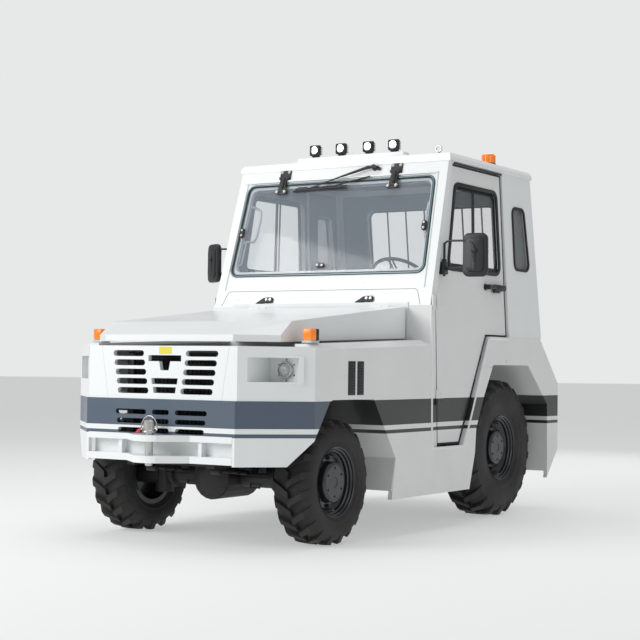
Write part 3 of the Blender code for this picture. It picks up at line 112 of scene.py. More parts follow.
# ------------------------------------------------------------------ modelling bench
class Bench:
    """Modelling operators, each used on one new object at a time."""

    @staticmethod
    def only(*things: Thing) -> None:
        """Selects these objects alone and makes the first one active.

        Args:
            *things: Objects to select.
        """
        bpy.ops.object.select_all(action="DESELECT")
        for thing in things:
            thing.select_set(True)
        bpy.context.view_layer.objects.active = things[0]

    @staticmethod
    def settle(thing: Thing) -> Thing:
        """Moves an object's place, turn and scale into its mesh.

        Args:
            thing: Object to settle.

        Returns:
            The same object, at the origin.
        """
        Bench.only(thing)
        bpy.ops.object.transform_apply(location=True, rotation=True, scale=True)
        return thing

    @staticmethod
    def cuboid(name: str, low: Point, high: Point, edge: float = 0.0, segments: int = 2) -> Thing:
        """Box between two corners with rounded edges.

        Args:
            name: Name of the piece.
            low: Lowest corner.
            high: Highest corner.
            edge: Width of the rounding.
            segments: Steps in the rounding.

        Returns:
            The new object.
        """
        middle = [(a + b) / 2 for a, b in zip(low, high)]
        bpy.ops.mesh.primitive_cube_add(size=1.0, location=middle)
        thing = bpy.context.active_object
        thing.name = name
        thing.scale = [b - a for a, b in zip(low, high)]
        Bench.settle(thing)
        return Bench.bevel(thing, edge, segments) if edge else thing

    @staticmethod
    def rod(name: str, start: Point, end: Point, radius: float, tip: float | None = None, sides: int = 20,
            edge: float = 0.0) -> Thing:
        """Round bar between two points, tapered when a tip radius is given.

        Args:
            name: Name of the piece.
            start: Middle of the first end.
            end: Middle of the second end.
            radius: Radius at the start.
            tip: Radius at the end.
            sides: Number of sides.
            edge: Width of the rounding at both ends.

        Returns:
            The new object.
        """
        first = Vector(start)
        way = Vector(end) - first
        bpy.ops.mesh.primitive_cone_add(
            vertices=sides, radius1=radius, radius2=radius if tip is None else tip, depth=way.length,
            location=first + way / 2, rotation=way.to_track_quat("Z", "Y").to_euler())
        thing = bpy.context.active_object
        thing.name = name
        Bench.settle(thing)
        if edge:
            Bench.bevel(thing, edge, 2, 50)
        return Bench.smooth(thing)

    @staticmethod
    def ring(name: str, middle: Point, normal: Point, major: float, minor: float, steps: int = 32) -> Thing:
        """Round wire ring.

        Args:
            name: Name of the piece.
            middle: Centre of the ring.
            normal: Direction through the ring.
            major: Radius of the ring.
            minor: Radius of the wire.
            steps: Steps round the ring.

        Returns:
            The new object.
        """
        bpy.ops.mesh.primitive_torus_add(
            location=middle, rotation=Vector(normal).to_track_quat("Z", "Y").to_euler(), major_radius=major,
            minor_radius=minor, major_segments=steps, minor_segments=10)
        thing = bpy.context.active_object
        thing.name = name
        return Bench.smooth(Bench.settle(thing))

    @staticmethod
    def plate(name: str, panel: Panel, outline: Sequence[Flat], depth: float, lift: float = 0.0,
              edge: float = 0.0, holes: Sequence[Sequence[Flat]] = ()) -> Thing:
        """Flat plate cut to an outline and laid on a panel.

        Args:
            name: Name of the piece.
            panel: Face that carries the plate.
            outline: Corners on that face.
            depth: Thickness, outwards.
            lift: Distance from the face to the underside.
            edge: Width of the rounded edge.
            holes: Outlines cut through the plate.

        Returns:
            The new object.
        """
        curve = bpy.data.curves.new(name, "CURVE")
        curve.dimensions = "2D"
        curve.fill_mode = "BOTH"
        curve.extrude = depth / 2 - edge
        curve.bevel_depth = edge
        curve.bevel_resolution = 1
        curve.offset = -edge
        for loop in (outline, *holes):
            spline = curve.splines.new("POLY")
            spline.points.add(len(loop) - 1)
            for point, (across, height) in zip(spline.points, loop):
                point.co = (across, height, 0.0, 1.0)
            spline.use_cyclic_u = True
        thing = Bench.meshed(bpy.data.objects.new(name, curve))
        thing.matrix_world = panel.matrix(lift + depth / 2)
        return Bench.smooth(Bench.settle(thing))

    @staticmethod
    def tube(name: str, points: Sequence[Point], radius: float, closed: bool = False,
             sides: int = 2) -> Thing:
        """Round tube along a line of points.

        Args:
            name: Name of the piece.
            points: Middle line.
            radius: Radius of the tube.
            closed: Joins the last point to the first.
            sides: Roundness, from 1 upwards.

        Returns:
            The new object.
        """
        curve = bpy.data.curves.new(name, "CURVE")
        curve.dimensions = "3D"
        curve.bevel_depth = radius
        curve.bevel_resolution = sides
        curve.use_fill_caps = not closed
        spline = curve.splines.new("POLY")
        spline.points.add(len(points) - 1)
        for point, place in zip(spline.points, points):
            point.co = (*place, 1.0)
        spline.use_cyclic_u = closed
        return Bench.smooth(Bench.meshed(bpy.data.objects.new(name, curve)), 60)

    @staticmethod
    def meshed(thing: Thing) -> Thing:
        """Turns a curve object into a mesh with its doubles merged.

        Args:
            thing: Curve object that isn't in the scene yet.

        Returns:
            The mesh object.
        """
        bpy.context.scene.collection.objects.link(thing)
        Bench.only(thing)
        bpy.ops.object.convert(target="MESH")
        thing = bpy.context.active_object
        return Bench.closed(thing)

    @staticmethod
    def closed(thing: Thing) -> Thing:
        """Merges doubles and turns every face outwards.

        Args:
            thing: Mesh object.

        Returns:
            The same object.
        """
        Bench.only(thing)
        bpy.ops.object.mode_set(mode="EDIT")
        bpy.ops.mesh.select_all(action="SELECT")
        bpy.ops.mesh.remove_doubles(threshold=0.00002)
        bpy.ops.mesh.normals_make_consistent(inside=False)
        bpy.ops.object.mode_set(mode="OBJECT")
        return thing

    @staticmethod
    def lathe(name: str, profile: Sequence[Flat], middle: Point, axis: Point, steps: int = 48,
              loop: bool = False) -> Thing:
        """Turned piece.

        Args:
            name: Name of the piece.
            profile: Pairs of distance along the axis and radius.
            middle: Point on the axis where the distance is nought.
            axis: Direction of the axis.
            steps: Steps of the full turn.
            loop: The profile is a closed section.

        Returns:
            The new object.
        """
        curve = bpy.data.curves.new(name, "CURVE")
        curve.dimensions = "3D"
        spline = curve.splines.new("POLY")
        spline.points.add(len(profile) - 1)
        for point, (along, radius) in zip(spline.points, profile):
            point.co = (radius, 0.0, along, 1.0)
        spline.use_cyclic_u = loop
        thing = bpy.data.objects.new(name, curve)
        bpy.context.scene.collection.objects.link(thing)
        Bench.only(thing)
        bpy.ops.object.convert(target="MESH")
        thing = bpy.context.active_object
        bpy.ops.object.mode_set(mode="EDIT")
        bpy.ops.mesh.select_all(action="SELECT")
        bpy.ops.mesh.spin(steps=steps, angle=2 * math.pi, center=(0.0, 0.0, 0.0), axis=(0.0, 0.0, 1.0))
        bpy.ops.object.mode_set(mode="OBJECT")
        Bench.closed(thing)
        turn = Vector(axis).to_track_quat("Z", "Y").to_matrix().to_4x4()
        thing.matrix_world = Matrix.Translation(middle) @ turn
        return Bench.smooth(Bench.settle(thing))

    @staticmethod
    def bevel(thing: Thing, width: float, segments: int = 2, angle: float = 30.0) -> Thing:
        """Rounds the sharp edges of a piece.

        Args:
            thing: Mesh object.
            width: Width of the rounding.
            segments: Steps in the rounding.
            angle: Edges sharper than this are rounded, in degrees.

        Returns:
            The same object.
        """
        Bench.only(thing)
        bpy.ops.object.modifier_add(type="BEVEL")
        worker = thing.modifiers[-1]
        worker.width = width
        worker.segments = segments
        worker.limit_method = "ANGLE"
        worker.angle_limit = math.radians(angle)
        bpy.ops.object.modifier_apply(modifier=worker.name)
        return Bench.smooth(thing)

    @staticmethod
    def smooth(thing: Thing, angle: float = 32.0) -> Thing:
        """Shades a piece smooth up to an angle in degrees.

        Args:
            thing: Mesh object.
            angle: Largest angle that still shades smooth.

        Returns:
            The same object.
        """
        Bench.only(thing)
        bpy.ops.object.shade_smooth_by_angle(angle=math.radians(angle))
        return thing

    @staticmethod
    def faces(thing: Thing, test: Callable[[Vector, Vector], bool]) -> None:
        """Opens edit mode with the faces selected that pass a test of middle and normal.

        Args:
            thing: Mesh object.
            test: Function of the face's middle and normal.
        """
        Bench.only(thing)
        bpy.ops.object.mode_set(mode="EDIT")
        bpy.ops.mesh.select_mode(type="FACE")
        bpy.ops.mesh.select_all(action="DESELECT")
        bpy.ops.object.mode_set(mode="OBJECT")
        for polygon in thing.data.polygons:
            polygon.select = test(polygon.center, polygon.normal)
        bpy.ops.object.mode_set(mode="EDIT")

    @staticmethod
    def recess(thing: Thing, test: Callable[[Vector, Vector], bool], border: float, depth: float) -> Thing:
        """Insets the faces that pass a test and sinks them.

        Args:
            thing: Mesh object.
            test: Function of the face's middle and normal.
            border: Width of the border that stays.
            depth: How far the inner face sinks; negative raises it.

        Returns:
            The same object.
        """
        Bench.faces(thing, test)
        bpy.ops.mesh.inset(thickness=border, depth=0.0)
        bpy.ops.mesh.inset(thickness=abs(depth) * 0.15, depth=-depth)
        bpy.ops.object.mode_set(mode="OBJECT")
        return thing

    @staticmethod
    def join(name: str, *things: Thing) -> Thing:
        """Joins pieces into one object.

        Args:
            name: Name of the joined piece.
            *things: Mesh objects.

        Returns:
            The joined object.
        """
        Bench.only(*things)
        if len(things) > 1:
            bpy.ops.object.join()
        thing = bpy.context.active_object
        thing.name = name
        return thing

    @staticmethod
    def copy(thing: Thing, name: str, change: Matrix) -> Thing:
        """Copy with its own mesh, moved by a matrix.

        Args:
            thing: Object to copy.
            name: Name of the copy.
            change: Move or turn.

        Returns:
            The copy, settled.
        """
        Bench.only(thing)
        bpy.ops.object.duplicate(linked=False)
        twin = bpy.context.active_object
        twin.name = name
        twin.matrix_world = change @ twin.matrix_world
        Bench.settle(twin)
        return Bench.closed(twin) if change.determinant() < 0 else twin

    @staticmethod
    def mirrored(thing: Thing, name: str) -> Thing:
        """Copy on the other side of the machine."""
        return Bench.copy(thing, name, Matrix.Scale(-1.0, 4, Vector((1.0, 0.0, 0.0))))

    @staticmethod
    def around(thing: Thing, middle: Point, axis: Point, count: int) -> Thing:
        """Repeats a piece evenly round an axis and joins the copies.

        Args:
            thing: Piece to repeat.
            middle: Point on the axis.
            axis: Direction of the axis.
            count: Number of pieces.

        Returns:
            The joined piece.
        """
        place = Matrix.Translation(middle)
        twins = [
            Bench.copy(thing, thing.name,
                       place @ Matrix.Rotation(2 * math.pi * step / count, 4,
                                               Vector(axis)) @ place.inverted()) for step in range(1, count)
        ]
        return Bench.join(thing.name, thing, *twins)


def rounded(corners: Sequence[Flat], radius: float, steps: int = 6) -> list[Flat]:
    """Outline with its corners rounded.

    Args:
        corners: Corners in order.
        radius: Radius of the rounding.
        steps: Steps in each corner.

    Returns:
        Points of the rounded outline.
    """
    points: list[Flat] = []
    for index, corner in enumerate(corners):
        here = Vector(corner)
        before = (Vector(corners[index - 1]) - here).normalized()
        after = (Vector(corners[(index + 1) % len(corners)]) - here).normalized()
        half = before.angle(after) / 2
        reach = radius / math.tan(half)
        first = here + before * reach
        last = here + after * reach
        heart = here + (before + after).normalized() * radius / math.sin(half)
        sweep = math.pi - 2 * half
        turn = 1 if before.x * after.y - before.y * after.x < 0 else -1
        for way in (turn, -turn):
            arc: list[Flat] = []
            for step in range(steps + 1):
                arm = (first - heart).copy()
                arm.rotate(Matrix.Rotation(way * sweep * step / steps, 2))
                arc.append(tuple(heart + arm))
            if (Vector(arc[-1]) - last).length <= radius * ARC_SLACK:
                break
        points.extend(arc)
    return points


def disc(across: float, height: float, radius: float, steps: int = 20) -> list[Flat]:
    """Round outline.

    Args:
        across: Middle, sideways.
        height: Middle, upwards.
        radius: Radius.
        steps: Number of points.

    Returns:
        Points of the circle.
    """
    return [(across + radius * math.cos(2 * math.pi * step / steps),
             height + radius * math.sin(2 * math.pi * step / steps)) for step in range(steps)]


def block(low: Flat, high: Flat) -> list[Flat]:
    """Corners of an upright rectangle."""
    return [low, (high[0], low[1]), high, (low[0], high[1])]


def grown(corners: Sequence[Flat], amount: float) -> list[Flat]:
    """Convex outline moved outwards, or inwards for a negative amount.

    Args:
        corners: Corners in order, counter-clockwise.
        amount: Distance.

    Returns:
        Corners of the new outline.
    """
    result: list[Flat] = []
    for index, corner in enumerate(corners):
        here = Vector(corner)
        before = (here - Vector(corners[index - 1])).normalized()
        after = (Vector(corners[(index + 1) % len(corners)]) - here).normalized()
        first = Vector((before.y, -before.x))
        second = Vector((after.y, -after.x))
        result.append(tuple(here + (first + second) * amount / (1 + first.dot(second))))
    return result


@dataclass(frozen=True)
class Panel:
    """Flat face of the body: where it meets the ground plane, and its directions.

    A point on it is given sideways and by its true height above the ground.
    """

    origin: Vector
    across: Vector
    up: Vector

    @property
    def normal(self) -> Vector:
        """Outward direction."""
        return self.across.cross(self.up).normalized()

    def matrix(self, lift: float = 0.0) -> Matrix:
        """Placing matrix of the face.

        Args:
            lift: Distance outwards.

        Returns:
            Matrix from flat outlines to the machine's frame.
        """
        origin = self.origin + self.normal * lift
        columns = (self.across, self.up, self.normal, origin)
        rows = [[column[row] for column in columns] for row in range(3)]
        return Matrix((*rows, (0.0, 0.0, 0.0, 1.0)))

    def point(self, across: float, height: float, lift: float = 0.0) -> Point:
        """Point on the face or off it.

        Args:
            across: Distance sideways.
            height: Height above the ground.
            lift: Distance outwards.

        Returns:
            The point.
        """
        return tuple(self.matrix(lift) @ Vector((across, height, 0.0)))

    def line(self, points: Sequence[Flat], lift: float = 0.0) -> list[Point]:
        """Points on the face as points in space."""
        return [self.point(across, height, lift) for across, height in points]


# ------------------------------------------------------------------ finishes
class Graph:
    """Adds and links the nodes of one shader tree."""

    def __init__(self, tree: bpy.types.NodeTree) -> None:
        """Starts on an empty tree.

        Args:
            tree: Node tree to fill.
        """
        self.tree = tree

    def add(self, kind: str, options: dict | None = None, **inputs: object) -> bpy.types.Node:
        """Adds a shader node.

        Args:
            kind: Node type without its ShaderNode prefix.
            options: Settings of the node itself.
            **inputs: Values or sockets for its inputs; an underscore stands for a space.

        Returns:
            The new node.
        """
        node = self.tree.nodes.new(f"ShaderNode{kind}")
        for key, value in (options or {}).items():
            setattr(node, key, value)
        for key, value in inputs.items():
            self.feed(node, key.replace("_", " "), value)
        return node

    def feed(self, node: bpy.types.Node, socket: str | int, value: object) -> None:
        """Sets or links one input.

        Args:
            node: Node that owns the input.
            socket: Name or number of the input.
            value: A value, or the output socket that feeds it.
        """
        target = node.inputs[socket]
        if isinstance(value, bpy.types.NodeSocket):
            self.tree.links.new(value, target)
        else:
            target.default_value = value

    def math(self, operation: str, first: object, second: object = 0.5) -> bpy.types.NodeSocket:
        """Adds a math node.

        Args:
            operation: Name of the operation.
            first: First value or socket.
            second: Second value or socket.

        Returns:
            Its result.
        """
        node = self.add("Math", {"operation": operation})
        self.feed(node, 0, first)
        self.feed(node, 1, second)
        return node.outputs[0]

    def ramp(self, value: bpy.types.NodeSocket, low: float, high: float, start: float = 0.0,
             end: float = 1.0) -> bpy.types.NodeSocket:
        """Maps a range of values smoothly to another.

        Args:
            value: Socket to map.
            low: Value that gives the start.
            high: Value that gives the end.
            start: Result at the low end.
            end: Result at the high end.

        Returns:
            The mapped value.
        """
        node = self.add("MapRange", {"interpolation_type": "SMOOTHSTEP"}, Value=value)
        for socket, number in zip(("From Min", "From Max", "To Min", "To Max"), (low, high, start, end)):
            node.inputs[socket].default_value = number
        return node.outputs[0]

    def blend(self, share: object, first: object, second: object) -> bpy.types.NodeSocket:
        """Mixes two colours.

        Args:
            share: Value or socket from 0 to 1.
            first: Colour at 0.
            second: Colour at 1.

        Returns:
            The mixed colour.
        """
        node = self.add("Mix", {"data_type": "RGBA"})
        self.feed(node, 0, share)
        for socket, value in ((6, first), (7, second)):
            self.feed(node, socket, (*value, 1.0) if isinstance(value, tuple) and len(value) == 3 else value)
        return node.outputs[2]


class SharedEffects:
    """Shader groups that several finishes use, each built once."""

    def __init__(self) -> None:
        """Builds the grain and the road dust groups."""
        self.grain = self._grain()
        self.dust = self._dust()

    @staticmethod
    def _new(name: str, inputs: Sequence[str], outputs: Sequence[str]) -> bpy.types.NodeTree:
        """Starts a group with plain value sockets.

        Args:
            name: Name of the group.
            inputs: Names of its inputs.
            outputs: Names of its outputs.

        Returns:
            The group with its input and output nodes.
        """
        tree = bpy.data.node_groups.new(name, "ShaderNodeTree")
        for label in inputs:
            tree.interface.new_socket(label, in_out="INPUT", socket_type="NodeSocketFloat")
        for label in outputs:
            tree.interface.new_socket(label, in_out="OUTPUT", socket_type="NodeSocketFloat")
        tree.nodes.new("NodeGroupInput")
        tree.nodes.new("NodeGroupOutput")
        return tree

    def _grain(self) -> bpy.types.NodeTree:
        """Fine surface grain with a slow change of tone.

        Returns:
            The group.
        """
        tree = self._new("surface_grain", ("Scale", "Spread"), ("Height", "Tone"))
        graph = Graph(tree)
        source = tree.nodes["Group Input"]
        place = graph.add("TexCoord").outputs["Object"]
        fine = graph.add("TexNoise", Vector=place, Scale=source.outputs["Scale"], Detail=3.0)
        slow = graph.add("TexNoise", Vector=place, Scale=source.outputs["Spread"], Detail=4.0)
        result = tree.nodes["Group Output"]
        graph.feed(result, "Height", fine.outputs[0])
        graph.feed(result, "Tone", graph.ramp(slow.outputs[0], 0.3, 0.7))
        return tree

    def _dust(self) -> bpy.types.NodeTree:
        """Road dust that gathers towards the ground in soft patches.

        Returns:
            The group.
        """
        tree = self._new("road_dust", ("Top", "Amount"), ("Mask",))
        graph = Graph(tree)
        source = tree.nodes["Group Input"]
        place = graph.add("TexCoord").outputs["Object"]
        height = graph.add("SeparateXYZ", Vector=place).outputs["Z"]
        patches = graph.add("TexNoise", Vector=place, Scale=7.0, Detail=5.0).outputs[0]
        fade = graph.math("SUBTRACT", 1.0, graph.math("DIVIDE", height, source.outputs["Top"]))
        fade = graph.math("MAXIMUM", fade, 0.0)
        mask = graph.math("MULTIPLY", graph.math("MULTIPLY", fade, patches), source.outputs["Amount"])
        graph.feed(tree.nodes["Group Output"], "Mask", graph.math("MINIMUM", mask, 1.0))
        return tree


@dataclass(frozen=True)
class Stripe:
    """Painted band between two heights."""

    low: float
    high: float
    color: Color


@dataclass(frozen=True)
class Finish:
    """Painted, moulded or plated surface."""

    name: str
    color: Color
    shade: float = 0.06             # how far the colour varies
    roughness: float = 0.4
    metallic: float = 0.0
    coat: float = 0.0
    grain: float = 260.0            # grains a metre, about
    relief: float = 0.00008
    dust: float = 0.0
    dust_top: float = 1.4
    dust_color: Color = (0.3, 0.27, 0.23)
    stripes: tuple[Stripe, ...] = ()

    def material(self, shared: SharedEffects) -> bpy.types.Material:
        """Builds the material.

        Args:
            shared: Shared shader groups.

        Returns:
            The new material.
        """
        material = bpy.data.materials.new(self.name)
        material.use_nodes = True
        graph = Graph(material.node_tree)
        shader = material.node_tree.nodes["Principled BSDF"]
        grain = graph.add("Group", {"node_tree": shared.grain}, Scale=self.grain, Spread=3.5)
        color = self.base(graph)
        darker = graph.add("HueSaturation", Color=color, Value=1.0 - self.shade * 2)
        color = graph.blend(grain.outputs["Tone"], color, darker.outputs[0])
        rough = graph.ramp(
            grain.outputs["Tone"], 0.0, 1.0, self.roughness * 0.88, min(1.0, self.roughness * 1.12)
        )
        if self.dust:
            dust = graph.add("Group", {"node_tree": shared.dust}, Top=self.dust_top, Amount=self.dust)
            color = graph.blend(dust.outputs["Mask"], color, self.dust_color)
            rough = graph.math("ADD", rough, graph.math("MULTIPLY", dust.outputs["Mask"], 0.5))
        bump = graph.add("Bump", Strength=1.0, Distance=self.relief, Height=grain.outputs["Height"])
        graph.feed(shader, "Base Color", color)
        graph.feed(shader, "Roughness", rough)
        graph.feed(shader, "Normal", bump.outputs[0])
        shader.inputs["Metallic"].default_value = self.metallic
        shader.inputs["Coat Weight"].default_value = self.coat
        shader.inputs["Coat Roughness"].default_value = 0.08
        self.extra(graph, shader)
        return material

    def base(self, graph: Graph) -> object:
        """Colour before its variation, with any painted bands.

        Args:
            graph: Shader tree.

        Returns:
            A colour socket.
        """
        color: object = graph.blend(0.0, self.color, self.color)
        if self.stripes:
            place = graph.add("TexCoord").outputs["Object"]
            height = graph.add("SeparateXYZ", Vector=place).outputs["Z"]
            for stripe in self.stripes:
                above = graph.math("GREATER_THAN", height, stripe.low)
                below = graph.math("LESS_THAN", height, stripe.high)
                color = graph.blend(graph.math("MULTIPLY", above, below), color, stripe.color)
        return color

    def extra(self, graph: Graph, shader: bpy.types.Node) -> None:
        """Further settings of a special finish.

        Args:
            graph: Shader tree.
            shader: The Principled node.
        """


@dataclass(frozen=True)
class Clear(Finish):
    """Glass or a clear lens with a light tint."""

    cover: float = 0.3              # how much the tint veils what is behind

    def extra(self, graph: Graph, shader: bpy.types.Node) -> None:
        """Lets light through, more where the glass is seen face on."""
        weight = graph.add("LayerWeight", Blend=0.25)
        graph.feed(shader, "Alpha",
                   graph.ramp(weight.outputs["Facing"], 0.0, 1.0, self.cover, min(1.0, self.cover + 0.35)))
        shader.inputs["IOR"].default_value = 1.5


@dataclass(frozen=True)
class Glowing(Finish):
    """Translucent coloured lens with a little light of its own."""

    glow: float = 0.25

    def extra(self, graph: Graph, shader: bpy.types.Node) -> None:
        """Adds a soft glow in the lens colour."""
        shader.inputs["Emission Color"].default_value = (*self.color, 1.0)
        shader.inputs["Emission Strength"].default_value = self.glow
        shader.inputs["Subsurface Weight"].default_value = 0.15


@dataclass(frozen=True)
class Woven(Finish):
    """Seat cloth with a plain weave and a soft sheen."""

    thread: float = 0.0022

    def extra(self, graph: Graph, shader: bpy.types.Node) -> None:
        """Adds the weave to the relief and the sheen to the shader."""
        place = graph.add("TexCoord").outputs["Object"]
        scale = 1.0 / self.thread
        across = graph.add(
            "TexWave", {"bands_direction": "X"}, Vector=place, Scale=scale / 20, Distortion=0.6
        )
        along = graph.add(
            "TexWave", {"bands_direction": "Z"}, Vector=place, Scale=scale / 20, Distortion=0.6
        )
        depth = graph.add(
            "TexWave", {"bands_direction": "Y"}, Vector=place, Scale=scale / 20, Distortion=0.6
        )
        weave = graph.math(
            "MULTIPLY", across.outputs[1], graph.math("MAXIMUM", along.outputs[1], depth.outputs[1])
        )
        bump = graph.add("Bump", Strength=0.7, Distance=0.0008, Height=weave)
        graph.feed(shader, "Normal", bump.outputs[0])
        shader.inputs["Sheen Weight"].default_value = 0.35


SLATE: Color = (0.078, 0.107, 0.152)
CHARCOAL: Color = (0.022, 0.023, 0.025)
BAND = (0.718, 0.8785)
PINSTRIPE = (0.665, 0.688)


class Paint(Enum):
    """Every finish of the machine."""

    WHITE = Finish("white_gloss_paint", (0.83, 0.855, 0.86), 0.012, 0.34, 0.0, 0.2, 420.0, 0.000002, 0.05)
    NOSE = Finish("white_nose_paint_with_bands", (0.83, 0.855, 0.86), 0.012, 0.34, 0.0, 0.2, 420.0, 0.000002,
                  0.05, stripes=(Stripe(*BAND, SLATE), Stripe(*PINSTRIPE, SLATE)))
    SIDE = Finish("white_side_paint_with_bands", (0.79, 0.8, 0.8), 0.015, 0.34, 0.0, 0.2, 420.0, 0.000002,
                  0.16, 1.1, stripes=(Stripe(*BAND, CHARCOAL), Stripe(*PINSTRIPE, CHARCOAL)))
    CHASSIS = Finish("black_chassis_paint", (0.011, 0.011, 0.012), 0.12, 0.55, 0.0, 0.0, 240.0, 0.0002, 0.1)
    CAST = Finish("cast_iron_paint", (0.014, 0.014, 0.015), 0.15, 0.55, 0.0, 0.0, 160.0, 0.0004, 0.08)
    TYRE = Finish("tyre_rubber", (0.013, 0.012, 0.012), 0.12, 0.66, 0.0, 0.0, 520.0, 0.0002, 0.16, 1.1,
                  (0.16, 0.15, 0.14))
    RIM = Finish("rim_satin_paint", (0.01, 0.012, 0.018), 0.08, 0.3, 0.0, 0.35, 300.0, 0.00003, 0.06)
    STEEL = Finish("zinc_plated_steel", (0.58, 0.57, 0.55), 0.08, 0.3, 0.9, 0.0, 700.0, 0.00005)
    CHROME = Finish("polished_reflector", (0.62, 0.64, 0.66), 0.02, 0.16, 1.0, 0.0, 300.0, 0.00001)
    GLASS = Clear("tinted_window_glass", (0.5, 0.57, 0.64), 0.02, 0.04, 0.0, 0.5, 60.0, 0.000001, cover=0.17)
    SIDE_GLASS = Clear(
        "side_window_glass", (0.4, 0.43, 0.45), 0.02, 0.04, 0.0, 0.5, 60.0, 0.000001, cover=0.05
    )
    QUARTER_GLASS = Clear(
        "quarter_window_glass", (0.24, 0.26, 0.26), 0.02, 0.1, 0.0, 0.3, 60.0, 0.000001, cover=0.45
    )
    GLASS_EDGE = Finish("glass_edge", (0.13, 0.24, 0.26), 0.05, 0.12, 0.0, 0.4, 200.0, 0.00002)
    LENS = Clear("clear_lamp_lens", (0.8, 0.84, 0.86), 0.02, 0.06, 0.0, 0.6, 300.0, 0.00006, cover=0.3)
    AMBER = Glowing("amber_lens", (0.9, 0.25, 0.015), 0.1, 0.18, 0.0, 0.5, 420.0, 0.0001, glow=0.22)
    TAIL_RED = Glowing("red_lens", (0.55, 0.012, 0.012), 0.1, 0.2, 0.0, 0.5, 420.0, 0.0001, glow=0.1)
    RED = Finish("red_paint", (0.5, 0.035, 0.045), 0.08, 0.42, 0.0, 0.2, 300.0, 0.00006)
    YELLOW = Finish("yellow_label", (0.84, 0.72, 0.06), 0.05, 0.45, 0.0, 0.1, 300.0, 0.00003)
    LABEL = Finish("pale_label", (0.56, 0.6, 0.63), 0.05, 0.5, 0.0, 0.0, 300.0, 0.00003)
    RUBBER = Finish("black_rubber_seal", (0.014, 0.014, 0.015), 0.1, 0.55, 0.0, 0.0, 600.0, 0.0001)
    PLASTIC = Finish("grained_black_plastic", (0.02, 0.022, 0.025), 0.08, 0.42, 0.0, 0.0, 900.0, 0.00025)
    DASH = Finish("grey_dashboard_plastic", (0.11, 0.125, 0.14), 0.06, 0.6, 0.0, 0.0, 800.0, 0.0003)
    # blue-grey sheet colour: painted shade of the white inner faces of the cab, seen behind the tinted glass
    LINING = Finish("cab_lining", (0.25, 0.29, 0.34), 0.04, 0.7, 0.0, 0.0, 500.0, 0.0001)
    HOUSING = Finish("lamp_housing_plastic", (0.02, 0.021, 0.023), 0.08, 0.5, 0.0, 0.0, 700.0, 0.00012)
    GREY = Finish("grey_cast_fitting", (0.2, 0.215, 0.235), 0.15, 0.4, 0.35, 0.0, 420.0, 0.0002)
    SEAM = Finish("panel_seam", (0.3, 0.32, 0.33), 0.1, 0.6, 0.0, 0.0, 300.0, 0.00003)
    CORE = Finish("radiator_core", (0.035, 0.036, 0.038), 0.2, 0.6, 0.3, 0.0, 400.0, 0.0008)
    CLOTH = Woven("woven_seat_cloth", (0.05, 0.06, 0.075), 0.12, 0.85, 0.0, 0.0, 400.0, 0.0002)
    WIRE = Finish("window_guard_bar", (0.1, 0.11, 0.12), 0.1, 0.4, 0.2, 0.0, 300.0, 0.0001)


class Workshop:
    """Dresses pieces: finish, body and the CAD nodes they stand for."""

    def __init__(self, nodes: dict[str, Thing]) -> None:
        """Builds the shared effects.

        Args:
            nodes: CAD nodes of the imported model.
        """
        self.nodes = nodes
        self.shared = SharedEffects()
        self.materials: dict[Paint, bpy.types.Material] = {}

    def paint(self, paint: Paint) -> bpy.types.Material:
        """Material of a finish, built at its first use."""
        if paint not in self.materials:
            self.materials[paint] = paint.value.material(self.shared)
        return self.materials[paint]

    def coat(self, thing: Thing, paint: Paint) -> Thing:
        """Gives a whole piece one finish.

        Args:
            thing: Piece to paint.
            paint: Its finish.

        Returns:
            The same piece.
        """
        thing.data.materials.clear()
        thing.data.materials.append(self.paint(paint))
        return thing

    def fit(self, thing: Thing, body: Body, slot: Slot, paint: Paint | None = None,
            replaces: Sequence[str] = ()) -> Thing:
        """Finishes a new piece and hangs it on its body.

        Args:
            thing: New piece.
            body: Body that carries it.
            slot: Material slot that it follows; not used.
            paint: Finish, or None where the piece is painted already.
            replaces: CAD nodes that it stands for.

        Returns:
            The same piece.
        """
        if paint:
            self.coat(thing, paint)
        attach(thing, body.value)
        if replaces:
            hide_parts(*replaces)
        LOG.info("%s rides on %s", thing.name, body.value)
        return thing

    def keep(self, paint: Paint, *names: str) -> None:
        """Gives CAD nodes that stay visible a finish.

        Args:
            paint: Their finish.
            *names: Names of the nodes.
        """
        for name in names:
            for slot in self.nodes[name].material_slots:
                slot.material = self.paint(paint)
            if not self.nodes[name].material_slots:
                self.nodes[name].data.materials.append(self.paint(paint))


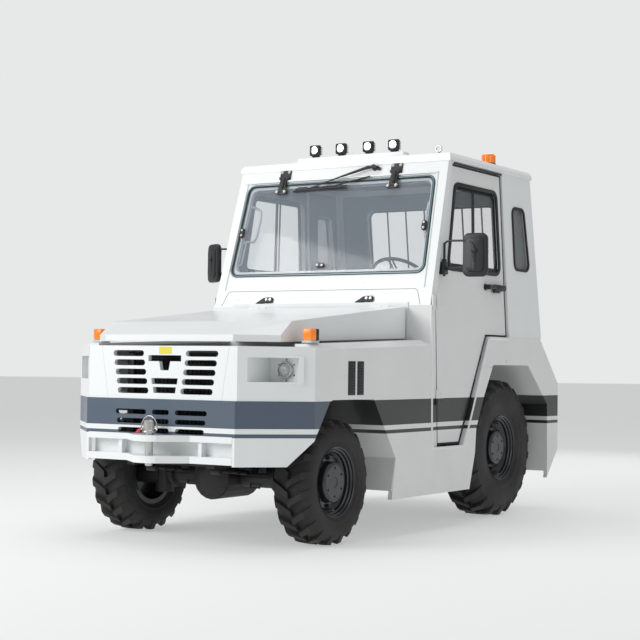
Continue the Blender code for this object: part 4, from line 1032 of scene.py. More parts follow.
# ------------------------------------------------------------------ places on the machine
class Layout:
    """Driving places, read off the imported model."""

    def __init__(self) -> None:
        """Measures the nodes that set everything else."""
        self.front_axle = self.middle("tyre_front_left").y
        self.rear_axle = self.middle("tyre_rear_left").y
        self.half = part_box("rear_fender_left")[1].x
        self.roof_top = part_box("roof_panel")[1].z
        self.corner = self.front_axle + 1.04
        self.ledge = 1.5
        self.belt = 1.3
        self.windshield = self.leaning(self.corner, 0.2966)
        self.nose = Panel(
            Vector((0.0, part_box("grille_panel")[0].y, 0.0)), Vector((1, 0, 0)), Vector((0, 0, 1))
        )
        self.flank = Panel(Vector((self.half, 0.0, 0.0)), Vector((0, 1, 0)), Vector((0, 0, 1)))
        self.door = self.side(self.half - 0.027, 0.0195)
        self.cab_side = self.side(self.half - 0.005, 0.0264)
        slope = -0.17 / (self.roof_top - 1.307)
        foot = self.rear_axle + 0.48 - slope * 1.307
        self.rear_wall = Panel(Vector((0.0, foot, 0.0)), Vector((-1, 0, 0)), Vector((0, slope, 1)))

    @staticmethod
    def middle(node: str) -> Vector:
        """Middle of a CAD node's box."""
        low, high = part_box(node)
        return (Vector(low) + Vector(high)) / 2

    def leaning(self, station: float, rake: float) -> Panel:
        """Face that looks forwards and leans back from the ledge."""
        return Panel(Vector((0.0, station - rake * self.ledge, 0.0)), Vector((1, 0, 0)),
                     Vector((0, rake, 1)))

    def side(self, half: float, lean: float) -> Panel:
        """Left face that leans in above the belt."""
        return Panel(Vector((half + lean * self.belt, 0.0, 0.0)), Vector((0, 1, 0)), Vector((-lean, 0, 1)))


@dataclass
class Assembly:
    """A group of pieces that is modelled and dressed together."""

    shop: Workshop
    place: Layout

    def build(self) -> None:
        """Builds every piece of the group."""
        raise NotImplementedError

    def pair(self, thing: Thing, left: Body, right: Body, slot: Slot, paint: Paint | None = None,
             replaces: Sequence[str] = ()) -> None:
        """Fits a left piece and its mirrored twin.

        Args:
            thing: Left piece, its name ending in _left.
            left: Body of the left piece.
            right: Body of the right piece.
            slot: Material slot of both.
            paint: Finish, or None where the piece is painted already.
            replaces: Left CAD nodes that it stands for.
        """
        if paint:
            self.shop.coat(thing, paint)
        twin = Bench.mirrored(thing, thing.name.replace("_left", "_right"))
        self.shop.fit(thing, left, slot, replaces=replaces)
        self.shop.fit(twin, right, slot, replaces=[name.replace("_left", "_right") for name in replaces])

    def painted(self, name: str, *parts: tuple[Thing, Paint]) -> Thing:
        """Joins parts that keep their own finishes.

        Args:
            name: Name of the joined piece.
            *parts: Pairs of part and finish.

        Returns:
            The joined piece.
        """
        for thing, paint in parts:
            self.shop.coat(thing, paint)
        return Bench.join(name, *(thing for thing, _ in parts))

    @staticmethod
    def bolt(place: Point, way: Point, radius: float = 0.007, height: float = 0.005) -> Thing:
        """Six-sided bolt head with a washer.

        Args:
            place: Foot of the bolt.
            way: Outward direction.
            radius: Radius of the head.
            height: Height of the head.

        Returns:
            The bolt.
        """
        foot = Vector(place)
        normal = Vector(way).normalized()
        top = foot + normal * height
        washer = Bench.rod(
            "washer", foot - normal * 0.001, foot + normal * height * 0.3, radius * 1.35, sides=16
        )
        head = Bench.rod("head", foot, top, radius, radius * 0.93, 6)
        return Bench.join("bolt", head, washer)


# ------------------------------------------------------------------ wheels
@dataclass
class Wheel(Assembly):
    """Lugged tyre and dished rim on one hub; the left one is built and its twin mirrored."""

    axle: str = "front"
    lugs: int = 20
    lug_height: float = 0.026
    lug_lean: float = 0.75
    rim_radius: float = 0.212
    hub_radius: float = 0.123
    hub_face: float = 0.1
    dish: float = 0.045
    middle: Vector = field(init=False)
    width: float = field(init=False)
    radius: float = field(init=False)

    def __post_init__(self) -> None:
        """Measures the tyre that this wheel carries."""
        low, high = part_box(f"tyre_{self.axle}_left")
        self.middle = self.place.middle(f"tyre_{self.axle}_left")
        self.width = high.x - low.x
        self.radius = (high.z - low.z) / 2

    def carcass_radius(self, across: float) -> float:
        """Radius of the tyre under its lugs, at a distance from the middle."""
        share = min(1.0, abs(across) / (self.width / 2))
        return self.radius - self.lug_height - 0.006 * share ** 2 - 0.05 * max(0.0, share - 0.72) ** 1.5 * 4

    def carcass(self) -> Thing:
        """Turned tyre body with bulging side walls and bead lines."""
        half = self.width / 2
        wall = self.radius - self.rim_radius
        outer = [(half * share, self.carcass_radius(half * share)) for share in (0.0, 0.35, 0.7, 0.84, 0.93)]
        side = [(half * 0.985, self.rim_radius + wall * 0.62), (half * 0.995, self.rim_radius + wall * 0.48),
                (half * 0.97, self.rim_radius + wall * 0.3), (half * 0.945, self.rim_radius + wall * 0.27),
                (half * 0.935, self.rim_radius + wall * 0.16), (half * 0.88, self.rim_radius + wall * 0.12),
                (half * 0.8, self.rim_radius + 0.0015)]
        section = outer + side
        section += [(-along, radius) for along, radius in reversed(section[1:])]
        return Bench.lathe("carcass", section, tuple(self.middle), (1, 0, 0), 72, loop=True)

    def lug(self, side: int) -> Thing:
        """One slanted tread bar, wrapped round the carcass.

        Args:
            side: 1 for the outer half of the tread, -1 for the inner half.

        Returns:
            The bar, at the foremost point of the tyre.
        """
        half = self.width / 2
        bpy.ops.mesh.primitive_cube_add(size=1.0, location=(0, 0, 0))
        bar = bpy.context.active_object
        bar.name = "lug"
        bpy.ops.object.mode_set(mode="EDIT")
        bpy.ops.mesh.select_all(action="SELECT")
        bpy.ops.mesh.subdivide(number_cuts=3)
        bpy.ops.object.mode_set(mode="OBJECT")
        pitch = 2 * math.pi / self.lugs
        thickness = self.radius * pitch * 0.4
        for vertex in bar.data.vertices:
            share = vertex.co.x + 0.5
            across = half * (-0.03 + 1.0 * share)
            rise = vertex.co.z + 0.5
            spread = thickness * (1.0 + 0.25 * share) * (1.0 - 0.22 * rise)
            along = vertex.co.y * spread + self.lug_lean * across * (1 - 0.25 * share)
            ground = self.carcass_radius(across) - 0.012
            top = min(self.radius - 0.0006, self.carcass_radius(across) + self.lug_height)
            shoulder = 1.0 - 0.55 * max(0.0, share - 0.82) / 0.18
            radius = ground + (top - ground) * rise * shoulder
            angle = along / self.radius + (pitch / 2 if side < 0 else 0.0)
            vertex.co = (across * side, -radius * math.cos(angle), radius * math.sin(angle))
        bar.location = self.middle
        Bench.settle(bar)
        Bench.closed(bar)
        return Bench.smooth(bar, 28)

    def tyre(self) -> Thing:
        """Carcass with both rows of tread bars."""
        rows = [Bench.around(self.lug(side), tuple(self.middle), (1, 0, 0), self.lugs) for side in (1, -1)]
        return Bench.join(f"tyre_{self.axle}_left_tread", self.carcass(), *rows)

    def rim(self) -> Thing:
        """Dished rim with its flange, steps, hub cap and nuts."""
        half = self.width * 0.39
        rim = self.rim_radius
        hub = self.hub_radius
        barrel = rim - 0.03
        profile = [
            (self.hub_face - 0.004, 0.0), (self.hub_face - 0.004, 0.028), (self.hub_face, 0.032),
            (self.hub_face, hub - 0.02), (self.hub_face - 0.005, hub - 0.012),
            (self.hub_face - 0.006, hub - 0.004), (self.hub_face - 0.012, hub),
            (self.dish + 0.006, hub + 0.001), (self.dish, hub + 0.006), (self.dish, barrel - 0.022),
            (self.dish + 0.01, barrel - 0.012), (half - 0.052, barrel - 0.006), (half - 0.046, barrel),
            (half - 0.03, barrel + 0.003), (half - 0.024, barrel + 0.012), (half - 0.012, barrel + 0.015),
            (half - 0.005, rim - 0.006), (half + 0.004, rim - 0.004), (half + 0.008, rim + 0.004),
            (half + 0.003, rim + 0.0008), (half * 0.82, rim), (-half, rim), (-half, barrel),
            (self.dish - 0.045, barrel - 0.014), (self.dish - 0.045, 0.0)
        ]
        body = Bench.lathe("rim", profile, tuple(self.middle), (1, 0, 0), 64)
        spot = self.middle + Vector((self.dish, 0.0, (hub + barrel) / 2 - 0.006))
        nut = self.bolt(tuple(spot), (1, 0, 0), 0.011, 0.018)
        nuts = Bench.around(nut, tuple(self.middle), (1, 0, 0), 8)
        cap_spot = self.middle + Vector((self.hub_face, 0.0, hub - 0.036))
        cap_bolts = Bench.around(
            self.bolt(tuple(cap_spot), (1, 0, 0), 0.006, 0.004), tuple(self.middle), (1, 0, 0), 6
        )
        valve_foot = self.middle + Vector((half - 0.04, 0.0, -barrel - 0.001))
        valve = Bench.rod("valve", tuple(valve_foot), tuple(valve_foot + Vector((0.03, 0.0, 0.012))), 0.004)
        return self.painted(f"wheel_{self.axle}_left_face", (body, Paint.RIM), (nuts, Paint.CAST),
                            (cap_bolts, Paint.CAST), (valve, Paint.STEEL))

    def build(self) -> None:
        """Builds both wheels of the axle."""
        left = Body[f"{self.axle.upper()}_WHEEL_LEFT"]
        right = Body[f"{self.axle.upper()}_WHEEL_RIGHT"]
        self.pair(self.tyre(), left, right, Slot.TYRE, Paint.TYRE, [f"tyre_{self.axle}_left"])
        self.pair(self.rim(), left, right, Slot.RIM, None, [f"wheel_{self.axle}_left"])


# ------------------------------------------------------------------ lamps
@dataclass
class Headlamps(Assembly):
    """Round headlamps on the back of their pockets."""

    radius: float = 0.05
    screw_ring: float = 0.0615

    def build(self) -> None:
        """Builds the left headlamp and its twin."""
        low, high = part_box("headlamp_left")
        middle = ((low.x + high.x) / 2, high.y, (low.z + high.z) / 2)
        out = (0, -1, 0)
        size = self.radius
        bezel = Bench.lathe(
            "bezel",
            [(0.0, size * 1.02), (0.02, size * 1.0), (0.027, size * 0.93), (0.027, size * 0.84),
             (0.018, size * 0.8), (0.0, size * 0.8)], middle, out, loop=True
        )
        bowl = Bench.lathe(
            "bowl",
            [(0.003, 0.0), (0.004, size * 0.2), (0.01, size * 0.55), (0.019, size * 0.795),
             (0.016, size * 0.8), (0.001, size * 0.3), (0.001, 0.0)], middle, out
        )
        bulb = Bench.lathe(
            "bulb", [(0.003, 0.01), (0.016, 0.01), (0.02, 0.007), (0.021, 0.0)], middle, out, 20
        )
        lens = Bench.lathe(
            "lens",
            [(0.019, size * 0.83), (0.025, size * 0.7), (0.03, size * 0.45), (0.0325, 0.0), (0.0305, 0.0),
             (0.028, size * 0.45), (0.0225, size * 0.7), (0.017, size * 0.82)], middle, out, loop=True
        )
        spot = (middle[0], middle[1] - 0.0002, middle[2] + self.screw_ring)
        screws = Bench.around(self.bolt(spot, out, 0.0042, 0.004), middle, out, 6)
        lamp = self.painted("headlamp_left_unit", (bezel, Paint.STEEL), (bowl, Paint.CHROME),
                            (bulb, Paint.CHROME), (lens, Paint.LENS), (screws, Paint.GREY))
        self.pair(lamp, Body.CHASSIS, Body.CHASSIS, Slot.LAMP, None, ["headlamp_left"])


@dataclass
class TurnSignals(Assembly):
    """Amber turn signals on the shoulders, with a black housing behind the lens."""

    base_height: float = 0.017
    lens_share: float = 0.68

    def build(self) -> None:
        """Builds the left signal and its twin."""
        low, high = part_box("turn_signal_left")
        split = low.y + (high.y - low.y) * self.lens_share
        floor = low.z + self.base_height
        base = Bench.cuboid("base", (low.x, low.y, low.z), (high.x, high.y, floor), 0.004)
        lens = Bench.cuboid(
            "lens", (low.x + 0.003, low.y + 0.003, floor - 0.001), (high.x - 0.002, split, high.z), 0.009, 3
        )
        ribs = [Bench.cuboid("rib", (low.x + 0.006, low.y + 0.0015, height),
                             (high.x - 0.0005, split - 0.004, height + 0.003), 0.0012, 1)
                for height in (floor + 0.012 + 0.0095 * step for step in range(6))]
        housing = Bench.cuboid("housing", (low.x + 0.002, split - 0.001, floor - 0.001),
                               (high.x - 0.001, high.y - 0.001, high.z - 0.001), 0.007, 2)
        Bench.recess(housing, lambda _, normal: normal.y > 0.9, 0.006, 0.003)
        signal = self.painted(
            "turn_signal_left_unit", (lens, Paint.AMBER), (Bench.join("ribs", *ribs), Paint.AMBER),
            (base, Paint.LABEL), (housing, Paint.HOUSING)
        )
        self.pair(signal, Body.CHASSIS, Body.CHASSIS, Slot.AMBER, None, ["turn_signal_left"])


@dataclass
class RoofLamps(Assembly):
    """Platform over the windshield with four work lamps."""

    spots: tuple[float, ...] = (-0.304, -0.082, 0.146, 0.354)
    size: Flat = (0.088, 0.078)
    lens_radius: float = 0.0285

    def lamp(self, middle: float, station: float, floor: float) -> Thing:
        """One work lamp: finned housing, bezel and lens on a bracket.

        Args:
            middle: Place across the machine.
            station: Station of the front of the housing.
            floor: Height of the platform.

        Returns:
            The lamp.
        """
        wide, high = self.size
        base = floor + 0.014
        housing = Bench.cuboid("housing", (middle - wide / 2, station, base),
                               (middle + wide / 2, station + 0.034, base + high), 0.012, 3)
        Bench.recess(housing, lambda _, normal: normal.y < -0.9, 0.006, 0.0025)
        fins = [Bench.cuboid("fin", (middle - wide * 0.42, station + 0.032, height),
                             (middle + wide * 0.42, station + 0.058, height + 0.004), 0.0012, 1)
                for height in (base + 0.01 + 0.0125 * step for step in range(5))]
        heart = (middle, station + 0.001, base + high / 2)
        bezel = Bench.ring("bezel", heart, (0, 1, 0), self.lens_radius + 0.004, 0.0035, 28)
        lens = Bench.lathe(
            "lens",
            [(0.0, self.lens_radius + 0.002), (0.003, self.lens_radius), (0.005, 0.012), (0.0055, 0.0)],
            heart, (0, -1, 0), 28
        )
        foot = Bench.cuboid("foot", (middle - 0.02, station + 0.012, floor),
                            (middle + 0.02, station + 0.046, floor + 0.006), 0.002)
        neck = Bench.rod("neck", (middle, station + 0.029, floor + 0.004),
                         (middle, station + 0.029, base + 0.004), 0.009, sides=16)
        yoke = Bench.cuboid("yoke", (middle - wide * 0.36, station + 0.02, base - 0.006),
                            (middle + wide * 0.36, station + 0.038, base + 0.001), 0.002)
        dark = Bench.join("dark", housing, foot, neck, yoke, bezel, *fins)
        return self.painted("lamp", (lens, Paint.CHROME), (dark, Paint.HOUSING))

    def build(self) -> None:
        """Builds the platform and its lamps."""
        low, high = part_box("lamp_bar")
        top = self.place.roof_top + 0.046
        base = Bench.cuboid("platform", (-0.445, low.y, low.z), (0.445, high.y, top), 0.004)
        Bench.faces(base, lambda middle, normal: abs(normal.x) > 0.9)
        bpy.ops.mesh.inset(thickness=0.008, depth=-0.002)
        bpy.ops.object.mode_set(mode="OBJECT")
        ends = [Bench.cuboid("end", (side * 0.452 - 0.014, low.y + 0.004, low.z),
                             (side * 0.452 + 0.014, high.y - 0.004, low.z + 0.022), 0.006)
                for side in (-1, 1)]
        lamps = [self.lamp(spot, low.y + 0.006, top) for spot in self.spots]
        bar = self.painted("roof_lamp_bar", (Bench.join("base", base, *ends), Paint.WHITE))
        lit = Bench.join("roof_lamps", *lamps)
        self.shop.fit(bar, Body.CHASSIS, Slot.WHITE, replaces=["lamp_bar"])
        self.shop.fit(lit, Body.CHASSIS, Slot.LAMP)


@dataclass
class RoofFittings(Assembly):
    """Beacon, a lifting eye and the drip rails of the roof."""

    ribs: int = 30

    def beacon(self) -> None:
        """Ribbed amber beacon on a black foot."""
        low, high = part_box("beacon")
        middle = self.place.middle("beacon")
        spot = (middle.x, middle.y, low.z)
        foot = Bench.lathe(
            "foot", [(0.0, 0.0), (0.0, 0.055), (0.007, 0.0555), (0.013, 0.052), (0.018, 0.05), (0.018, 0.0)],
            spot, (0, 0, 1), 40
        )
        height = high.z - low.z
        dome = Bench.lathe(
            "dome",
            [(0.016, 0.0), (0.016, 0.049), (height - 0.01, 0.0485), (height - 0.003, 0.044), (height, 0.034),
             (height, 0.0)], spot, (0, 0, 1), self.ribs * 2
        )
        rib = Bench.cuboid("rib", (middle.x + 0.046, middle.y - 0.002, low.z + 0.02),
                           (middle.x + 0.0515, middle.y + 0.002, high.z - 0.01), 0.0012, 1)
        ribs = Bench.around(rib, spot, (0, 0, 1), self.ribs)
        bands = [Bench.ring("band", (middle.x, middle.y, low.z + level), (0, 0, 1), 0.0492, 0.0016, 40)
                 for level in (0.03, 0.045, 0.06)]
        self.shop.fit(self.painted("roof_beacon", (Bench.join("amber", dome, ribs, *bands), Paint.AMBER),
                                   (foot, Paint.HOUSING)), Body.CHASSIS, Slot.AMBER, replaces=["beacon"])

    def eye(self) -> None:
        """Lifting eye on the front corner of the roof."""
        spot = (0.752, self.place.windshield.point(0, self.place.roof_top)[1] + 0.035, self.place.roof_top)
        heart = (spot[0], spot[1], spot[2] + 0.036)
        loop = Bench.ring("loop", heart, (0, 1, 0), 0.021, 0.0065, 36)
        shank = Bench.lathe(
            "shank", [(0.0, 0.0), (0.0, 0.017), (0.005, 0.017), (0.008, 0.01), (0.018, 0.008), (0.018, 0.0)],
            spot, (0, 0, 1), 24
        )
        self.shop.fit(Bench.join("roof_lifting_eye", loop, shank), Body.CHASSIS, Slot.STEEL, Paint.STEEL)

    def build(self) -> None:
        """Builds the roof fittings."""
        self.beacon()
        self.eye()
        low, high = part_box("roof_panel")
        rail = Bench.tube("roof_drip_left", [(high.x - 0.002, low.y + 0.06, low.z + 0.006),
                                             (high.x - 0.002, high.y - 0.05, low.z + 0.006)], 0.005)
        self.pair(rail, Body.CHASSIS, Body.CHASSIS, Slot.WHITE, Paint.WHITE)


# ------------------------------------------------------------------ cab and nose trim
@dataclass
class Windshield(Assembly):
    """Edge, fixings, hinges and wiper of the top-hung windshield."""

    low_half: float = 0.799
    high_half: float = 0.7725
    low: float = 1.721
    high: float = 2.398
    corner: float = 0.058
    hinge_spots: tuple[float, ...] = (-0.466, 0.46)

    def build(self) -> None:
        """Builds the windshield's pieces."""
        face = self.place.windshield
        outline = [(-self.low_half, self.low), (self.low_half, self.low), (self.high_half, self.high),
                   (-self.high_half, self.high)]
        seal = Bench.plate("windshield_seal", face, rounded(grown(outline, 0.006), self.corner + 0.006),
                           0.01, -0.004, 0.002, [rounded(grown(outline, -0.014), self.corner - 0.014)])
        edge = Bench.plate("edge", face, rounded(grown(outline, 0.002), self.corner), 0.005, 0.006, 0.001,
                           [rounded(grown(outline, -0.006), self.corner - 0.006)])
        self.shop.fit(seal, Body.CHASSIS, Slot.BLACK, Paint.RUBBER)
        self.shop.fit(Bench.join("windshield_edge", edge), Body.CHASSIS, Slot.GLASS, Paint.GLASS_EDGE)
        self.gutter(face)
        self.fixings(face)
        self.hinges(face)
        self.wiper(face)

    def gutter(self, face: Panel) -> None:
        """Folded lip that carries water past the glass."""
        lip = Bench.plate(
            "windshield_gutter", face, block((-0.805, 2.412), (0.79, 2.424)), 0.014, 0.0, 0.003
        )
        post = [Bench.tube("post", face.line([(side * 0.818, 1.62), (side * 0.79, 2.42)], 0.002), 0.006)
                for side in (-1, 1)]
        self.shop.fit(Bench.join("windshield_gutter", lip, *post), Body.CHASSIS, Slot.WHITE, Paint.WHITE)

    def fixings(self, face: Panel) -> None:
        """Oval clamps that hold the glass, each with two bolts."""
        parts = []
        bolts = []
        for across, height, lying in ((-0.752, 2.041, False), (0.752, 2.043, False), (-0.029, 1.784, True)):
            long = (0.036, 0.016) if lying else (0.016, 0.036)
            outline = rounded(
                block((across - long[0], height - long[1]), (across + long[0], height + long[1])), 0.0155
            )
            parts.append(Bench.plate("clamp", face, outline, 0.02, 0.004, 0.004))
            for side in (-1, 1):
                spot = (across + side * (long[0] - 0.017), height + side * (long[1] - 0.017))
                bolts.append(self.bolt(face.point(*spot, 0.024), tuple(face.normal), 0.006, 0.004))
        clamps = self.painted("windshield_clamps", (Bench.join("clamps", *parts), Paint.HOUSING),
                              (Bench.join("bolts", *bolts), Paint.STEEL))
        self.shop.fit(clamps, Body.CHASSIS, Slot.BLACK)

    def hinges(self, face: Panel) -> None:
        """Two cranked hinges between the header and the glass."""
        parts = []
        bolts = []
        for across in self.hinge_spots:
            parts.append(Bench.plate(
                "leaf", face, rounded(block((across - 0.046, 2.43), (across + 0.046, 2.5)), 0.01), 0.008,
                0.0, 0.002
            ))
            parts.append(Bench.plate(
                "foot", face, rounded(block((across - 0.052, 2.318), (across + 0.044, 2.35)), 0.014), 0.014,
                0.008, 0.003
            ))
            parts.append(Bench.plate(
                "strap", face,
                [(across - 0.034, 2.336), (across + 0.022, 2.336), (across + 0.034, 2.452),
                 (across - 0.022, 2.452)], 0.012, 0.016, 0.003
            ))
            parts.append(Bench.rod("pin", face.point(across - 0.04, 2.438, 0.016),
                                   face.point(across + 0.04, 2.438, 0.016), 0.011, edge=0.002))
            parts.append(Bench.rod("spring", face.point(across + 0.004, 2.35, 0.03),
                                   face.point(across + 0.01, 2.432, 0.03), 0.01, edge=0.002))
            for spot in ((across - 0.03, 2.486), (across + 0.03, 2.486), (across - 0.036, 2.334),
                         (across + 0.028, 2.334)):
                lift = 0.008 if spot[1] > 2.4 else 0.028
                bolts.append(self.bolt(face.point(*spot, lift), tuple(face.normal), 0.0085, 0.006))
        hinges = self.painted("windshield_hinges", (Bench.join("leaves", *parts), Paint.HOUSING),
                              (Bench.join("bolts", *bolts), Paint.STEEL))
        self.shop.fit(hinges, Body.CHASSIS, Slot.BLACK)

    def wiper(self, face: Panel) -> None:
        """Wiper on the header: cap, tapered arm, second link and blade."""
        pivot = (0.283, 2.476)
        cap = Bench.rod("cap", face.point(*pivot, 0.0), face.point(*pivot, 0.038), 0.021, 0.017, edge=0.004)
        second = Bench.rod(
            "second", face.point(0.318, 2.468, 0.0), face.point(0.318, 2.468, 0.028), 0.013, edge=0.003
        )
        head = Bench.tube("head", face.line([(0.318, 2.468), (0.283, 2.476), (0.225, 2.468)], 0.032), 0.011)
        arm = Bench.rod("arm", face.point(0.25, 2.474, 0.034), face.point(0.02, 2.412, 0.036), 0.012, 0.006)
        wire = Bench.rod(
            "wire", face.point(0.03, 2.415, 0.036), face.point(-0.19, 2.352, 0.034), 0.0055, 0.004
        )
        link = Bench.rod("link", face.point(0.26, 2.41, 0.02), face.point(-0.06, 2.345, 0.03), 0.006, 0.004)
        blade = Bench.plate(
            "blade", face, [(-0.366, 2.332), (0.03, 2.338), (0.095, 2.352), (0.03, 2.36), (-0.3, 2.347)],
            0.01, 0.022, 0.002
        )
        rubber = Bench.plate(
            "rubber", face, [(-0.366, 2.326), (0.08, 2.334), (0.08, 2.342), (-0.366, 2.334)], 0.014, 0.009,
            0.001
        )
        bows = [
            Bench.tube("bow",
                       face.line([(middle - 0.06, 2.34), (middle - 0.03, 2.352), (middle + 0.03, 2.352),
                                  (middle + 0.06, 2.343)], 0.034), 0.004) for middle in (-0.28, -0.17, -0.05)
        ]
        wiper = Bench.join("windshield_wiper", cap, second, head, arm, wire, link, blade, rubber, *bows)
        self.shop.fit(wiper, Body.CHASSIS, Slot.BLACK, Paint.HOUSING)


@dataclass
class Cowl(Assembly):
    """Cover below the windshield with its latches and screws."""

    latch_spots: tuple[float, ...] = (-0.452, 0.371)

    def build(self) -> None:
        """Builds the cowl's pieces."""
        face = self.place.windshield
        outline = [(-0.824, 1.506), (-0.786, 1.598), (-0.77, 1.611), (0.752, 1.611), (0.772, 1.598),
                   (0.806, 1.506)]
        seam = Bench.tube("cowl_seam", face.line(outline, 0.0002), 0.0022)
        self.shop.fit(seam, Body.CHASSIS, Slot.BLACK, Paint.SEAM)
        screws = [self.bolt(face.point(*spot), tuple(face.normal), 0.0075, 0.004)
                  for spot in ((-0.688, 1.556), (0.664, 1.559), (-0.371, 1.656), (0.332, 1.664))]
        self.shop.fit(Bench.join("cowl_screws", *screws), Body.CHASSIS, Slot.STEEL, Paint.STEEL)
        latches = [self.latch(face, spot) for spot in self.latch_spots]
        self.shop.fit(Bench.join("cowl_latches", *latches), Body.CHASSIS, Slot.BLACK)

    def latch(self, face: Panel, middle: float) -> Thing:
        """Turn latch: wedge-shaped tongue, round seat and two bolts.

        Args:
            face: Face that carries it.
            middle: Place across the machine.

        Returns:
            The latch.
        """
        tongue = Bench.plate(
            "tongue", face,
            [(middle - 0.07, 1.52), (middle - 0.01, 1.52), (middle + 0.03, 1.534), (middle + 0.03, 1.56),
             (middle - 0.006, 1.56)], 0.014, 0.0, 0.003
        )
        seat = Bench.plate(
            "seat", face, rounded(block((middle + 0.004, 1.524), (middle + 0.072, 1.562)), 0.012), 0.018,
            0.0, 0.004
        )
        bolts = [self.bolt(face.point(middle + across, 1.546, 0.018), tuple(face.normal), 0.0075, 0.005)
                 for across in (0.022, 0.054)]
        return self.painted("latch", (Bench.join("body", tongue, seat), Paint.HOUSING),
                            (Bench.join("bolts", *bolts), Paint.STEEL))


@dataclass
class NoseTrim(Assembly):
    """Small things on the nose: label, radiator core behind the grille, tow pin with its bail and tag."""

    def build(self) -> None:
        """Builds the nose's pieces."""
        face = self.place.nose
        label = Bench.plate(
            "nose_label", face, rounded(block((-0.015, 1.149), (0.076, 1.19)), 0.003), 0.0012, SKIN_LIFT
        )
        self.shop.fit(label, Body.CHASSIS, Slot.WHITE, Paint.YELLOW)
        self.radiator()
        self.tow_pin()

    def radiator(self) -> None:
        """Finned core and its frame behind the grille."""
        low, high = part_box("radiator")
        front = low.y - 0.012
        fins = [Bench.cuboid("fin", (low.x + 0.03, front, height),
                             (high.x - 0.03, front + 0.011, height + 0.003), 0.0008, 1)
                for height in [low.z + 0.06 + 0.0125 * step for step in range(43)]]
        tubes = [Bench.cuboid("tube", (across, front + 0.002, low.z + 0.05),
                              (across + 0.004, front + 0.012, high.z - 0.04), 0.001, 1)
                 for across in [low.x + 0.05 + 0.031 * step for step in range(21)]]
        frame = [Bench.cuboid("frame", (side * 0.335 - 0.022, front - 0.006, low.z + 0.02),
                              (side * 0.335 + 0.022, front + 0.013, high.z - 0.01), 0.004)
                 for side in (-1, 1)]
        core = self.painted("radiator_core", (Bench.join("core", *fins, *tubes), Paint.CORE),
                            (Bench.join("frames", *frame), Paint.GREY))
        self.shop.fit(core, Body.CHASSIS, Slot.BLACK)

    def tow_pin(self) -> None:
        """Tow pin with a turned head, a wire bail and a red tag."""
        low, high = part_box("front_tow_pin")
        middle = self.place.middle("front_tow_pin")
        spot = (0.0, middle.y, low.z)
        top = 0.698 - low.z
        pin = Bench.lathe(
            "pin",
            [(0.0, 0.0), (0.0, 0.019), (0.01, 0.0235), (top - 0.016, 0.0235), (top - 0.015, 0.041),
             (top - 0.009, 0.043), (top - 0.004, 0.041), (top, 0.036), (top, 0.0355), (top + 0.052, 0.0345),
             (top + 0.058, 0.03), (top + 0.058, 0.0)], spot, (0, 0, 1), 40
        )
        heart = 0.708
        rise = high.z - heart - 0.004
        half = (high.x - low.x) / 2 - 0.006
        arc = [(half * math.cos(math.pi * step / 24), middle.y, heart + rise * math.sin(math.pi * step / 24))
               for step in range(25)]
        ends = [(half, middle.y, heart - 0.01), (half - 0.02, middle.y, heart + 0.006)]
        first = [(point[0], point[1], point[2]) for point in reversed(ends)]
        last = [(-point[0], point[1], point[2]) for point in ends]
        bail = Bench.tube("bail", [*first, *arc, *last], 0.0036)
        tag = Bench.plate(
            "tag", self.place.nose, [(-0.07, 0.676), (-0.03, 0.682), (-0.022, 0.712), (-0.05, 0.7)], 0.003,
            -middle.y + self.place.nose.origin.y + 0.048
        )
        made = self.painted("front_tow_pin_set", (pin, Paint.STEEL), (bail, Paint.STEEL), (tag, Paint.RED))
        self.shop.fit(made, Body.CHASSIS, Slot.STEEL, replaces=["front_tow_pin"])


